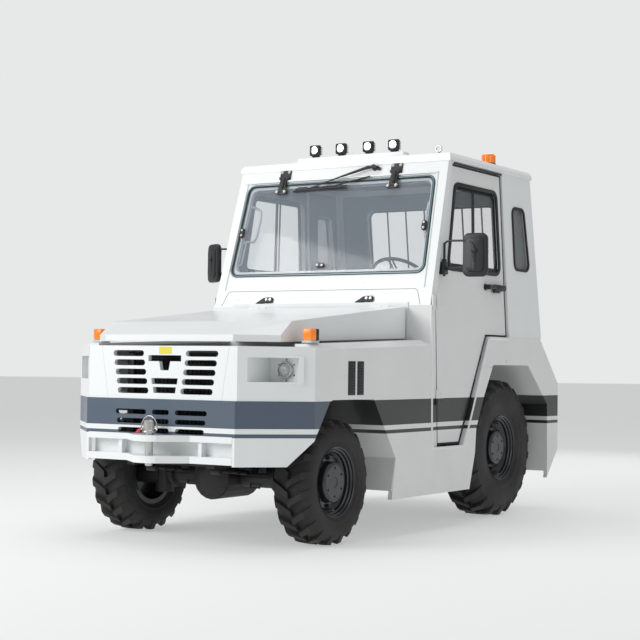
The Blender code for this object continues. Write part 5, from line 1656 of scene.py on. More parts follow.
@dataclass
class DoorTrim(Assembly):
    """Seal, window frame, handle and bead of each door."""

    def build(self) -> None:
        """Builds the left side and its twin."""
        self.window()
        self.seal()
        self.bead()
        self.handle()
        self.pillar_seal()

    def edge(self, grow: float) -> list[Flat]:
        """Outline of the door.

        Args:
            grow: Distance outside the door's edge.

        Returns:
            Pairs of station and height.
        """
        low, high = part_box("door_left")
        front = self.place.front_axle
        rear = self.place.rear_axle
        return grown(
            [(front + 1.195, low.z), (rear - 0.845, low.z), (rear - 0.44, 1.322), (rear - 0.105, 1.322),
             (rear - 0.19, high.z), (0.2127, high.z), (front + 1.15, 1.6)], grow
        )

    def station(self, outline: Sequence[Flat], lift: float) -> list[Point]:
        """Outline laid on the door's face, upright below the belt and leaning above it.

        Args:
            outline: Pairs of station and height.
            lift: Distance outwards.

        Returns:
            Points in space.
        """
        face = self.place.door
        foot = face.point(0.0, self.place.belt)[0]
        return [face.point(station, height, lift) if height > self.place.belt
                else (foot + lift, station, height) for station, height in outline]

    def window(self) -> None:
        """Rubber frame of the window with the divider of its sliding halves."""
        face = self.place.door
        outline = [(0.122, 1.747), (0.969, 1.747), (0.914, 2.365), (0.246, 2.365)]
        frame = Bench.plate("frame", face, rounded(outline, 0.075), 0.012, -0.003, 0.004,
                            [rounded(grown(outline, -0.03), 0.048)])
        inner = Bench.plate("inner", face, rounded(grown(outline, -0.022), 0.055), 0.008, -0.018, 0.002,
                            [rounded(grown(outline, -0.05), 0.034)])
        sill = Bench.plate(
            "sill", face, [(0.15, 1.772), (0.946, 1.772), (0.94, 1.8), (0.15, 1.8)], 0.01, -0.014, 0.002
        )
        divider = Bench.plate("divider", face, block((0.552, 1.78), (0.576, 2.345)), 0.012, -0.024, 0.003)
        second = Bench.plate("second", face, block((0.59, 1.78), (0.602, 2.345)), 0.008, -0.03, 0.002)
        trim = Bench.join("door_window_trim_left", frame, inner, sill, divider, second)
        self.pair(trim, Body.LEFT_DOOR, Body.RIGHT_DOOR, Slot.BLACK, Paint.RUBBER)

    def seal(self) -> None:
        """Black seal in the gap between the door and its opening."""
        seal = Bench.tube("door_seal_left", self.station(self.edge(0.0085), -0.006), 0.0082, True)
        self.pair(seal, Body.CHASSIS, Body.CHASSIS, Slot.BLACK, Paint.RUBBER)

    def pillar_seal(self) -> None:
        """Drip strip above the door, under the roof's edge."""
        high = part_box("door_left")[1].z
        face = self.place.cab_side
        strip = Bench.plate(
            "door_drip_left", face,
            [(0.215, high + 0.012), (0.965, high + 0.012), (0.963, high + 0.024), (0.219, high + 0.024)],
            0.009, 0.0, 0.002
        )
        self.pair(strip, Body.CHASSIS, Body.CHASSIS, Slot.BLACK, Paint.RUBBER)

    def bead(self) -> None:
        """Rolled edge of the body skin round the lower part of the door."""
        half = self.place.half - 0.0035
        front = self.place.front_axle
        rear = self.place.rear_axle
        corners = [(front + 1.045, 1.42), (front + 1.062, 0.545), (rear - 0.806, 0.545),
                   (rear - 0.428, 1.291), (rear - 0.12, 1.295)]
        path = self.eased(corners, 0.03)
        bead = Bench.tube(
            "door_bead_left", [(half, station, height) for station, height in path], 0.0105, sides=3
        )
        self.pair(bead, Body.CHASSIS, Body.CHASSIS, Slot.WHITE, Paint.WHITE)

    @staticmethod
    def eased(corners: Sequence[Flat], radius: float) -> list[Flat]:
        """Open line with its inner corners rounded.

        Args:
            corners: Corners in order.
            radius: Distance from a corner to where its curve starts.

        Returns:
            Points of the line.
        """
        path = [corners[0]]
        for before, here, after in zip(corners, corners[1:], corners[2:]):
            middle = Vector(here)
            first = middle + (Vector(before) - middle).normalized() * radius
            last = middle + (Vector(after) - middle).normalized() * radius
            for step in range(7):
                share = step / 6
                path.append(tuple(first * (1 - share) ** 2 + middle * 2 * share * (1 - share) + last
                                  * share ** 2))
        path.append(corners[-1])
        return path

    def handle(self) -> None:
        """Black pull handle with a round button in front and a paddle behind."""
        face = self.place.door
        height = 1.66
        button = Bench.rod(
            "button", face.point(0.716, height, 0.004), face.point(0.716, height, 0.046), 0.0185, edge=0.004
        )
        neck = Bench.rod(
            "neck", face.point(0.722, height, 0.03), face.point(0.815, height + 0.002, 0.032), 0.0135, 0.0165
        )
        body = Bench.plate(
            "body", face,
            rounded([(0.8, height - 0.02), (0.965, height - 0.022), (0.984, height - 0.004),
                     (0.976, height + 0.02), (0.8, height + 0.022)], 0.007), 0.034, 0.01, 0.006
        )
        paddle = Bench.plate(
            "paddle", face, rounded(block((0.812, height - 0.038), (0.9, height - 0.012)), 0.009), 0.02,
            0.012, 0.004
        )
        feet = [Bench.plate("foot", face, disc(station, height, 0.024), 0.008, 0.0, 0.002)
                for station in (0.716, 0.955)]
        latch = Bench.cuboid(
            "latch", tuple(Vector(face.point(0.958, height - 0.012, 0.004)) - Vector((0.012, 0, 0))),
            face.point(0.996, height + 0.012, 0.018), 0.003
        )
        handle = Bench.join("door_handle_left", button, neck, body, paddle, latch, *feet)
        self.pair(handle, Body.LEFT_DOOR, Body.RIGHT_DOOR, Slot.BLACK, Paint.PLASTIC)


@dataclass
class Mirrors(Assembly):
    """Door mirrors: rounded head, glass, ball joint and two bent arms."""

    half_width: float = 0.0885
    depth: float = 0.04

    def build(self) -> None:
        """Builds both mirrors, which stand at different angles."""
        self.mirror(1, 1.105, 0.072, 8.0, Body.LEFT_DOOR)
        self.mirror(-1, 1.06, 0.08, 30.0, Body.RIGHT_DOOR)

    def mirror(self, side: int, reach: float, station: float, toe: float, body: Body) -> None:
        """One mirror.

        Args:
            side: 1 for left, -1 for right.
            reach: Distance of the head from the middle of the machine.
            station: Station of the head.
            toe: Turn of the head in degrees.
            body: Body that carries it.
        """
        low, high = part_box("mirror_left" if side > 0 else "mirror_right")
        turn = math.radians(toe) * side
        across = Vector((math.cos(turn), math.sin(turn), 0.0))
        back = Panel(Vector((reach * side, station, 0.0)), across, Vector((0, 0, 1)))
        glass = Panel(back.origin, -across, Vector((0, 0, 1)))
        half = self.half_width
        outline = rounded([(-half, low.z + 0.004), (half, low.z + 0.004), (half * 0.97, high.z - 0.003),
                           (-half * 0.97, high.z - 0.003)], 0.042, 8)
        shell = Bench.plate("shell", back, outline, self.depth, -self.depth / 2, 0.012)
        swell = Bench.plate(
            "swell", back,
            rounded([(-half * 0.72, low.z + 0.035), (half * 0.72, low.z + 0.035),
                     (half * 0.7, high.z - 0.035), (-half * 0.7, high.z - 0.035)], 0.036, 8), 0.012,
            self.depth / 2 - 0.003, 0.007
        )
        pane = Bench.plate(
            "pane", glass,
            rounded(block((-half + 0.01, low.z + 0.015), (half - 0.01, high.z - 0.013)), 0.034, 8), 0.002,
            self.depth / 2 - 0.0005
        )
        ball_spot = back.point(0.0, 1.868, self.depth / 2 + 0.01)
        bpy.ops.mesh.primitive_uv_sphere_add(segments=20, ring_count=12, radius=0.02, location=ball_spot)
        ball = Bench.settle(bpy.context.active_object)
        Bench.faces(ball, lambda middle, _: middle.z < ball_spot[2] - 0.016)
        bpy.ops.mesh.inset(thickness=0.002, depth=0.002)
        bpy.ops.object.mode_set(mode="OBJECT")
        stem = Bench.rod("stem", ball_spot, back.point(0.0, 1.79, self.depth / 2 + 0.006), 0.012, 0.01)
        shoe = Bench.plate("shoe", back, rounded(block((-0.016, 1.735), (0.016, 1.815)), 0.014), 0.014,
                           self.depth / 2 - 0.002, 0.004)
        pillar = (0.884 * side, 0.045)
        clamp = Bench.cuboid("clamp", (min(0.861 * side, 0.899 * side), 0.012, 1.712),
                             (max(0.861 * side, 0.899 * side), 0.078, 1.798), 0.006)
        post = Bench.rod("post", (*pillar, 1.7), (*pillar, 1.925), 0.0085)
        collar = Bench.rod("collar", (*pillar, 1.798), (*pillar, 1.816), 0.016, edge=0.003)
        head = Vector(ball_spot)
        upper = Bench.tube(
            "upper",
            [(*pillar, 1.905), (0.89 * side, 0.045, 1.926), (0.905 * side, 0.045, 1.935),
             (0.945 * side, 0.043, 1.938), (head.x - 0.052 * side, head.y + 0.002, 1.936),
             (head.x - 0.02 * side, head.y, 1.926), (head.x - 0.003 * side, head.y, 1.9), tuple(head)],
            0.0072
        )
        lower = Bench.tube(
            "lower",
            [(*pillar, 1.755), (0.93 * side, 0.046, 1.752), (0.985 * side, head.y + 0.012, 1.752),
             tuple(Vector(back.point(-0.05 * side, 1.764, 0.0)))], 0.0135
        )
        dark = Bench.join("dark", shell, swell, ball, stem, shoe, clamp, post, collar, upper, lower)
        name = "left" if side > 0 else "right"
        made = self.painted(f"mirror_{name}_set", (dark, Paint.PLASTIC), (pane, Paint.CHROME))
        self.shop.fit(made, body, Slot.BLACK, replaces=[f"mirror_{name}"])


@dataclass
class SideTrim(Assembly):
    """Vents, quarter windows, skin seams and screws of the flanks."""

    vents: tuple[Flat, ...] = ((-1.207, -1.123), (-1.1, -1.023))

    def build(self) -> None:
        """Builds the left side and its twin."""
        self.quarter()
        self.louvres()
        self.seams()

    def quarter(self) -> None:
        """Rubber frame of the quarter window."""
        face = self.place.cab_side
        rear = self.place.rear_axle
        outline = [(rear + 0.018, 1.808), (rear + 0.276, 1.808), (rear + 0.188, 2.268),
                   (rear - 0.014, 2.268)]
        frame = Bench.plate("quarter_trim_left", face, rounded(grown(outline, 0.008), 0.062), 0.014, -0.004,
                            0.005, [rounded(grown(outline, -0.012), 0.042)])
        self.pair(frame, Body.CHASSIS, Body.CHASSIS, Slot.BLACK, Paint.RUBBER)

    def louvres(self) -> None:
        """Black vents with louvre blades ahead of the front pillar."""
        face = self.place.flank
        dark = []
        blades = []
        for start, end in self.vents:
            dark.append(Bench.plate("backing", face, block((start, 0.912), (end, 1.118)), 0.0012, SKIN_LIFT))
            for step in range(11):
                height = 0.92 + step * 0.0175
                blades.append(Bench.plate(
                    "blade", face, block((start + 0.004, height), (end - 0.004, height + 0.008)), 0.0045,
                    0.0008, 0.0015
                ))
        vents = self.painted("side_vents_left", (Bench.join("backings", *dark), Paint.RUBBER),
                             (Bench.join("blades", *blades), Paint.PLASTIC))
        self.pair(vents, Body.CHASSIS, Body.CHASSIS, Slot.BLACK)

    def seams(self) -> None:
        """Lap joints of the rear fender."""
        half = self.place.half
        lap = Bench.tube("lap", [(half, 0.735, 1.088), (half, 0.79, 1.092)], 0.0016)
        screws = [Bench.rod("screw", (half - 0.001, 1.01, height), (half + 0.0012, 1.01, height), 0.004)
                  for height in (1.128, 1.142)]
        self.pair(Bench.join("fender_marks_left", lap, *screws), Body.CHASSIS, Body.CHASSIS, Slot.BLACK,
                  Paint.SEAM)


@dataclass
class RearWindow(Assembly):
    """Seal and guard bars of the rear window."""

    bars: tuple[float, ...] = (-0.401, -0.234, -0.067, 0.1, 0.267, 0.434)

    def build(self) -> None:
        """Builds the rear window's pieces."""
        face = self.place.rear_wall
        low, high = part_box("rear_window")
        outline = [(low.x - 0.001, low.z), (high.x + 0.001, low.z), (high.x + 0.001, high.z),
                   (low.x - 0.001, high.z)]
        seal = Bench.plate("rear_window_seal", face, rounded(grown(outline, 0.01), 0.07), 0.012, -0.004,
                           0.004, [rounded(grown(outline, -0.014), 0.046)])
        self.shop.fit(seal, Body.CHASSIS, Slot.BLACK, Paint.RUBBER)
        rods = [Bench.rod("bar", face.point(-across, low.z - 0.02, 0.016),
                          face.point(-across, high.z + 0.02, 0.016), 0.0065) for across in self.bars]
        rails = [Bench.rod("rail", face.point(-0.47, height, 0.016), face.point(0.47, height, 0.016), 0.008)
                 for height in (low.z - 0.018, high.z + 0.018)]
        feet = [Bench.plate("foot", face, disc(across, height, 0.016), 0.016, 0.0, 0.002)
                for across in (-0.45, 0.45) for height in (low.z - 0.018, high.z + 0.018)]
        self.shop.fit(Bench.join("rear_window_guard", *rods, *rails, *feet), Body.CHASSIS, Slot.BLACK,
                      Paint.WIRE)


# ------------------------------------------------------------------ cabin
@dataclass
class Seats(Assembly):
    """Two seats: padded cushions and backs on a plain frame."""

    middles: tuple[float, ...] = (0.38, -0.36)
    voxel: float = 0.006
    swell_cap: float = 0.014
    frames: int = 20

    def build(self) -> None:
        """Builds the frame and both seats."""
        low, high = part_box("seats")
        deck = low.z
        cushion = self.pad("cushion", (0.0, low.y + 0.235, deck + 0.098), (0.425, 0.405, 0.06), 0.0)
        back = self.pad("back", (0.0, (low.y + high.y) / 2 + 0.222, deck + 0.385), (0.37, 0.056, 0.46), -8.5)
        for name, middle in zip(("left", "right"), self.middles):
            shift = Matrix.Translation((middle, 0.0, 0.0))
            for part, pad in (("cushion", cushion), ("back", back)):
                piece = Bench.copy(pad, f"seat_{part}_{name}", shift)
                self.shop.fit(piece, Body.CHASSIS, Slot.CLOTH, Paint.CLOTH)
        bpy.data.objects.remove(cushion)
        bpy.data.objects.remove(back)
        self.frame(low, high, deck)

    def pad(self, name: str, middle: Point, size: Point, lean: float) -> Thing:
        """Padded form, blown up a little by cloth simulation.

        Args:
            name: Name of the pad.
            middle: Its centre.
            size: Width, depth and height before it swells.
            lean: Turn about the axis across the machine, in degrees.

        Returns:
            The finished pad.
        """
        bpy.ops.mesh.primitive_cube_add(size=1.0, location=(0, 0, 0))
        thing = bpy.context.active_object
        thing.name = name
        thing.scale = size
        Bench.settle(thing)
        Bench.bevel(thing, min(size) * 0.42, 4)
        Bench.only(thing)
        bpy.ops.object.modifier_add(type="REMESH")
        remesh = thing.modifiers[-1]
        remesh.mode = "VOXEL"
        remesh.voxel_size = self.voxel
        bpy.ops.object.modifier_apply(modifier=remesh.name)
        self.inflate(thing)
        floor = -size[2] / 2 - 0.004 if size[2] < size[1] else -1.0
        for vertex in thing.data.vertices:
            vertex.co.z = max(vertex.co.z, floor)
        Bench.only(thing)
        bpy.ops.object.modifier_add(type="SUBSURF")
        fine = thing.modifiers[-1]
        fine.levels = 1
        fine.render_levels = 1
        bpy.ops.object.modifier_apply(modifier=fine.name)
        thing.rotation_euler = (math.radians(lean), 0.0, 0.0)
        thing.location = middle
        Bench.settle(thing)
        return Bench.smooth(thing, 60)

    def inflate(self, thing: Thing) -> None:
        """Runs the cloth simulation and caps how far each point moved.

        Args:
            thing: Remeshed pad.
        """
        rest = [vertex.co.copy() for vertex in thing.data.vertices]
        scene = bpy.context.scene
        scene.frame_set(1)
        Bench.only(thing)
        bpy.ops.object.modifier_add(type="CLOTH")
        cloth = thing.modifiers[-1]
        cloth.settings.use_pressure = True
        cloth.settings.uniform_pressure_force = 4.0
        cloth.settings.effector_weights.gravity = 0.0
        cloth.point_cache.frame_start = 1
        cloth.point_cache.frame_end = self.frames
        for frame in range(1, self.frames + 1):
            scene.frame_set(frame)
        bpy.ops.object.modifier_apply(modifier=cloth.name)
        scene.frame_set(1)
        for vertex, place in zip(thing.data.vertices, rest):
            move = vertex.co - place
            if move.length > self.swell_cap:
                vertex.co = place + move.normalized() * self.swell_cap

    def frame(self, low: Vector, high: Vector, deck: float) -> None:
        """Steel base, seat pans, slide rails and bent stays.

        Args:
            low: Lowest corner of the seats.
            high: Highest corner of the seats.
            deck: Height of the deck.
        """
        parts = [
            Bench.cuboid("base", (low.x, low.y + 0.045, deck), (high.x, high.y - 0.17, deck + 0.03), 0.006)
        ]
        for middle in self.middles:
            parts.append(Bench.cuboid("pan", (middle - 0.215, low.y + 0.035, deck + 0.028),
                                      (middle + 0.215, low.y + 0.44, deck + 0.058), 0.008))
            for side in (-1, 1):
                across = middle + side * 0.165
                parts.append(Bench.cuboid("rail", (across - 0.018, low.y + 0.02, deck + 0.022),
                                          (across + 0.018, low.y + 0.47, deck + 0.044), 0.004))
                edge = middle + side * 0.209
                parts.append(Bench.tube(
                    "stay",
                    [(edge, low.y + 0.4, deck + 0.05), (edge, low.y + 0.485, deck + 0.09),
                     (edge, low.y + 0.545, deck + 0.33)], 0.01
                ))
        frame = Bench.join("seat_frame", *parts)
        self.shop.fit(frame, Body.CHASSIS, Slot.PLASTIC, Paint.PLASTIC, ["seats"])


@dataclass
class Cabin(Assembly):
    """Dashboard gauges, steering wheel, levers, pedals, grab handles and cab mirror."""

    def build(self) -> None:
        """Builds the cabin's pieces."""
        self.gauges()
        self.steering()
        self.levers()
        self.grab_handles()
        self.header()

    def gauges(self) -> None:
        """Instrument pod behind the steering wheel, with bezels, dials and switches."""
        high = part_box("dashboard")[1]
        face = Panel(Vector((0.38, high.y - 0.028 + 1.47 * 0.333, 0.0)), Vector((-1, 0, 0)),
                     Vector((0, -0.333, 1)))
        pod = Bench.plate(
            "pod", face, rounded(block((-0.215, 1.408), (0.215, 1.512)), 0.022), 0.01, 0.002, 0.003
        )
        bezels = []
        dials = []
        for across, size in ((-0.15, 0.03), (-0.07, 0.038), (0.02, 0.038), (0.1, 0.03), (0.168, 0.024)):
            spot = face.point(across, 1.462, 0.012)
            bezels.append(Bench.ring("bezel", spot, tuple(face.normal), size, 0.004, 32))
            dials.append(Bench.lathe(
                "dial", [(0.0, size), (0.0015, size * 0.96), (0.0015, 0.0)], spot, tuple(face.normal), 32
            ))
            start = Vector(spot) + face.normal * 0.0025
            tip = start + (face.across * -0.5 + Vector((0, 0, 0.8))) * size * 0.8
            bezels.append(Bench.rod("needle", tuple(start), tuple(tip), 0.0012, 0.0006, 8))
        switches = [
            Bench.plate("switch", face,
                        rounded(block((0.28 + 0.042 * step, 1.444), (0.306 + 0.042 * step, 1.484)), 0.004),
                        0.01, 0.001, 0.002) for step in range(5)
        ]
        panel = self.painted(
            "dashboard_instruments", (Bench.join("plastic", pod, *switches), Paint.PLASTIC),
            (Bench.join("bezels", *bezels), Paint.CHROME), (Bench.join("dials", *dials), Paint.LABEL)
        )
        self.shop.fit(panel, Body.CHASSIS, Slot.PLASTIC)

    def steering(self) -> None:
        """Steering wheel with a plain round rim, three spokes, hub, column and stalks."""
        low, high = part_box("steering_wheel")
        run = Vector((0.0, 0.215, 0.263)).normalized()
        end = Vector(((low.x + high.x) / 2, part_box("dashboard")[0].y + 0.42, 1.705))
        start = end - run * 0.385
        aim = tuple(run)
        steps = 96
        turn = run.to_track_quat("Z", "Y").to_matrix()
        circle = [
            end
            + turn @ Vector((math.cos(2 * math.pi * step / steps), math.sin(2 * math.pi * step / steps),
                             0.0)) * 0.214 for step in range(steps)
        ]
        rim = Bench.tube("rim", [tuple(point) for point in circle], 0.0125, True, 3)
        hub = Bench.lathe(
            "hub",
            [(-0.03, 0.0), (-0.03, 0.034), (-0.012, 0.044), (0.004, 0.042), (0.01, 0.032), (0.012, 0.0)],
            tuple(end), aim, 36
        )
        spokes = []
        for angle in (90, 210, 330):
            arm = turn @ Vector((math.cos(math.radians(angle)), math.sin(math.radians(angle)), 0.0))
            side = run.cross(arm)
            for offset in (-0.01, 0.01):
                first = end - run * 0.006 + arm * 0.03 + side * offset
                spokes.append(Bench.rod(
                    "spoke", tuple(first), tuple(end + arm * 0.21 + side * offset * 1.6), 0.0065, sides=12
                ))
        column = Bench.rod("column", tuple(start), tuple(end - run * 0.02), 0.03, 0.026, 28)
        shroud = Bench.lathe(
            "shroud", [(0.11, 0.027), (0.115, 0.042), (0.205, 0.04), (0.225, 0.034), (0.228, 0.026)],
            tuple(start), aim, 28, loop=True
        )
        stalks = []
        for side in (-1, 1):
            root = start + run * 0.19
            tip = root + Vector((side * 0.15, -0.01, 0.012))
            stalks.append(Bench.rod("stalk", tuple(root), tuple(tip), 0.0055))
            stalks.append(
                Bench.rod("knob", tuple(root + (tip - root) * 0.74), tuple(tip), 0.009, edge=0.002)
            )
        wheel = Bench.join("steering_wheel_set", rim, hub, column, shroud, *spokes, *stalks)
        self.shop.fit(wheel, Body.CHASSIS, Slot.PLASTIC, Paint.PLASTIC, ["steering_wheel"])

    def levers(self) -> None:
        """Gear and brake levers between the seats, and the pedals."""
        floor = 0.6
        pieces = []
        for across, lean, height in ((0.045, 0.05, 0.34), (-0.035, 0.02, 0.27)):
            root = (across, 0.372, floor + 0.002)
            knee = (across, 0.36, floor + height)
            tip = (across, 0.36 + lean, floor + height + 0.18)
            pieces.append(Bench.lathe(
                "boot",
                [(0.0, 0.0), (0.0, 0.05), (0.014, 0.046), (0.022, 0.036), (0.034, 0.034), (0.044, 0.02),
                 (0.056, 0.012), (0.056, 0.0)], root, (0, 0, 1), 28
            ))
            pieces.append(Bench.tube("lever", [root, knee, tip], 0.008))
            bpy.ops.mesh.primitive_uv_sphere_add(segments=20, ring_count=12, radius=0.022, location=tip)
            knob = Bench.settle(bpy.context.active_object)
            Bench.faces(knob, lambda middle, _, top=tip[2]: middle.z < top - 0.019)
            bpy.ops.mesh.inset(thickness=0.002, depth=0.003)
            bpy.ops.object.mode_set(mode="OBJECT")
            pieces.append(Bench.smooth(knob))
        for across in (0.27, 0.4, 0.53):
            pieces.append(Bench.tube(
                "pedal_arm", [(across, 0.105, 0.8), (across, 0.125, 0.7), (across, 0.16, 0.662)], 0.008
            ))
            pieces.append(
                Bench.cuboid("pedal", (across - 0.032, 0.15, 0.62), (across + 0.032, 0.17, 0.7), 0.006)
            )
        levers = Bench.join("cab_levers_and_pedals", *pieces)
        self.shop.fit(levers, Body.CHASSIS, Slot.PLASTIC, Paint.PLASTIC)

    def grab_handles(self) -> None:
        """White grab handles inside the windshield pillars."""
        face = self.place.windshield
        path = [(0.748, 2.255, -0.036), (0.735, 2.262, -0.075), (0.7, 2.24, -0.095), (0.694, 2.19, -0.1),
                (0.7, 2.05, -0.1), (0.712, 2.01, -0.09), (0.752, 2.0, -0.06), (0.763, 1.985, -0.036)]
        loop = Bench.tube("loop", [face.point(*spot) for spot in path], 0.0095, sides=3)
        bar = Bench.tube("bar", [face.point(0.752, 1.99, -0.055), face.point(0.76, 1.83, -0.055),
                                 face.point(0.772, 1.815, -0.036)], 0.0075, sides=3)
        handle = Bench.join("cab_grab_handle_left", loop, bar)
        self.pair(handle, Body.CHASSIS, Body.CHASSIS, Slot.WHITE, Paint.WHITE)

    def header(self) -> None:
        """Inner mirror and reading lamp under the roof."""
        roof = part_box("roof_panel")[0].z
        mirror = Bench.cuboid("mirror", (0.12, 0.245, roof - 0.165), (0.33, 0.268, roof - 0.085), 0.01, 3)
        Bench.recess(mirror, lambda _, normal: normal.y > 0.9, 0.006, 0.002)
        stem = Bench.tube(
            "stem", [(0.225, 0.25, roof - 0.12), (0.225, 0.215, roof - 0.095), (0.225, 0.212, roof - 0.004)],
            0.006
        )
        lamp = Bench.cuboid("lamp", (-0.09, 0.72, roof - 0.034), (0.09, 0.8, roof - 0.004), 0.008, 3)
        Bench.recess(lamp, lambda _, normal: normal.z < -0.9, 0.008, 0.003)
        self.shop.fit(Bench.join("cab_inner_mirror", mirror, stem, lamp), Body.CHASSIS, Slot.PLASTIC,
                      Paint.PLASTIC)


@dataclass
class InnerShadeSheets(Assembly):
    """Blue-grey sheets on the inner faces of the cab and its doors: painted shade of the white inside of the
    cab.
    """

    wall: float = 0.04
    sheet: float = 0.003

    def build(self) -> None:
        """Builds the painted-shade sheets of the roof, rear wall, sides, doors and windshield frame."""
        # every sheet below is painted shade laid over the white inside of the cab
        lift = -self.wall - self.sheet - 0.0015
        rear = self.place.rear_axle
        low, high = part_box("rear_window")
        window = [(low.x - 0.004, low.z - 0.004), (high.x + 0.004, low.z - 0.004),
                  (high.x + 0.004, high.z + 0.004), (low.x - 0.004, high.z + 0.004)]
        back = Bench.plate(
            "back", self.place.rear_wall, [(-0.8, 1.34), (0.8, 1.34), (0.775, 2.45), (-0.775, 2.45)],
            self.sheet, lift, 0.0008, [rounded(window, 0.062)]
        )
        roof = Bench.cuboid("roof", (-0.78, 0.225, 2.4915), (0.78, 1.385, 2.4955), 0.001, 1)
        glass = [(-0.799, 1.721), (0.799, 1.721), (0.7725, 2.398), (-0.7725, 2.398)]
        front = Bench.plate("front", self.place.windshield, rounded(grown(glass, 0.012), 0.06), self.sheet,
                            lift, 0.0008, [rounded(grown(glass, -0.034), 0.05)])
        reveal = Bench.plate("reveal", self.place.windshield, rounded(grown(glass, -0.0045), 0.052), 0.034,
                             -0.041, 0.0, [rounded(grown(glass, -0.011), 0.046)])
        self.shop.fit(Bench.join("cab_lining", back, roof, front, reveal), Body.CHASSIS, Slot.PLASTIC,
                      Paint.LINING)
        quarter = [(rear + 0.012, 1.802), (rear + 0.282, 1.802), (rear + 0.194, 2.274), (rear - 0.02, 2.274)]
        side = Bench.plate(
            "cab_side_lining_left", self.place.cab_side,
            [(1.082, 1.34), (1.54, 1.34), (1.385, 2.45), (1.0, 2.45)], self.sheet, lift, 0.0008,
            [rounded(quarter, 0.055)]
        )
        self.pair(side, Body.CHASSIS, Body.CHASSIS, Slot.PLASTIC, Paint.LINING)
        pane = [(0.122, 1.747), (0.969, 1.747), (0.914, 2.365), (0.246, 2.365)]
        door = Bench.plate(
            "door_lining_left", self.place.door,
            [(0.0, 1.345), (1.016, 1.345), (0.935, 2.44), (0.234, 2.44), (-0.008, 1.62)], self.sheet, lift,
            0.0008, [rounded(grown(pane, -0.012), 0.062)]
        )
        self.pair(door, Body.LEFT_DOOR, Body.RIGHT_DOOR, Slot.PLASTIC, Paint.LINING)


# ------------------------------------------------------------------ rear end
@dataclass
class RearEnd(Assembly):
    """Tail lamps, ladder rails and plate of the rear."""

    def build(self) -> None:
        """Builds the rear's pieces."""
        self.tail_lamps()
        self.rails()
        self.plate()

    def tail_lamps(self) -> None:
        """Three-part lamps on the tail plate."""
        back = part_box("tail_panel")[1].y
        parts = []
        lenses = {Paint.TAIL_RED: [], Paint.AMBER: [], Paint.LENS: []}
        parts.append(
            Bench.cuboid("housing", (0.64, back - 0.001, 0.715), (0.73, back + 0.022, 0.945), 0.006)
        )
        for step, paint in enumerate((Paint.LENS, Paint.TAIL_RED, Paint.AMBER)):
            height = 0.724 + step * 0.073
            lens = Bench.cuboid(
                "lens", (0.648, back + 0.018, height), (0.722, back + 0.036, height + 0.066), 0.007, 3
            )
            Bench.recess(lens, lambda _, normal: normal.y > 0.9, 0.008, -0.002)
            lenses[paint].append(lens)
        lamp = self.painted("tail_lamp_left", (Bench.join("housing", *parts), Paint.HOUSING),
                            *((Bench.join("lens", *made), paint) for paint, made in lenses.items()))
        self.pair(lamp, Body.CHASSIS, Body.CHASSIS, Slot.LAMP)

    def rails(self) -> None:
        """Red hand rails on the rear corners of the cab."""
        face = self.place.rear_wall
        path = [(-0.805, 1.595, -0.002), (-0.805, 1.595, 0.034), (-0.805, 1.606, 0.044),
                (-0.805, 1.868, 0.044), (-0.805, 1.88, 0.034), (-0.805, 1.88, -0.002)]
        rail = Bench.tube("rail", [face.point(*spot) for spot in path], 0.0085, sides=3)
        stay = Bench.rod("stay", face.point(-0.805, 1.738, -0.002), face.point(-0.805, 1.738, 0.044), 0.0075)
        feet = [Bench.plate("foot", face, disc(-0.805, height, 0.018), 0.005, 0.0, 0.001)
                for height in (1.595, 1.738, 1.88)]
        self.pair(Bench.join("rear_hand_rail_left", rail, stay, *feet), Body.CHASSIS, Body.CHASSIS,
                  Slot.BLACK, Paint.RED)

    def plate(self) -> None:
        """Blank number plate with its lamp."""
        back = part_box("tail_panel")[1].y
        face = Panel(Vector((0.0, back, 0.0)), Vector((-1, 0, 0)), Vector((0, 0, 1)))
        blank = Bench.plate(
            "blank", face, rounded(block((-0.235, 0.8), (0.235, 0.912)), 0.01), 0.003, SKIN_LIFT
        )
        Bench.recess(blank, lambda _, normal: normal.y > 0.9, 0.006, 0.0006)
        bolts = [self.bolt((across, back + 0.0036, 0.856), (0, 1, 0), 0.005, 0.003)
                 for across in (-0.2, 0.2)]
        lamp = Bench.cuboid("lamp", (-0.05, back - 0.001, 0.92), (0.05, back + 0.024, 0.944), 0.005)
        made = self.painted("rear_plate", (blank, Paint.LABEL), (Bench.join("bolts", *bolts), Paint.STEEL),
                            (lamp, Paint.HOUSING))
        self.shop.fit(made, Body.CHASSIS, Slot.WHITE)


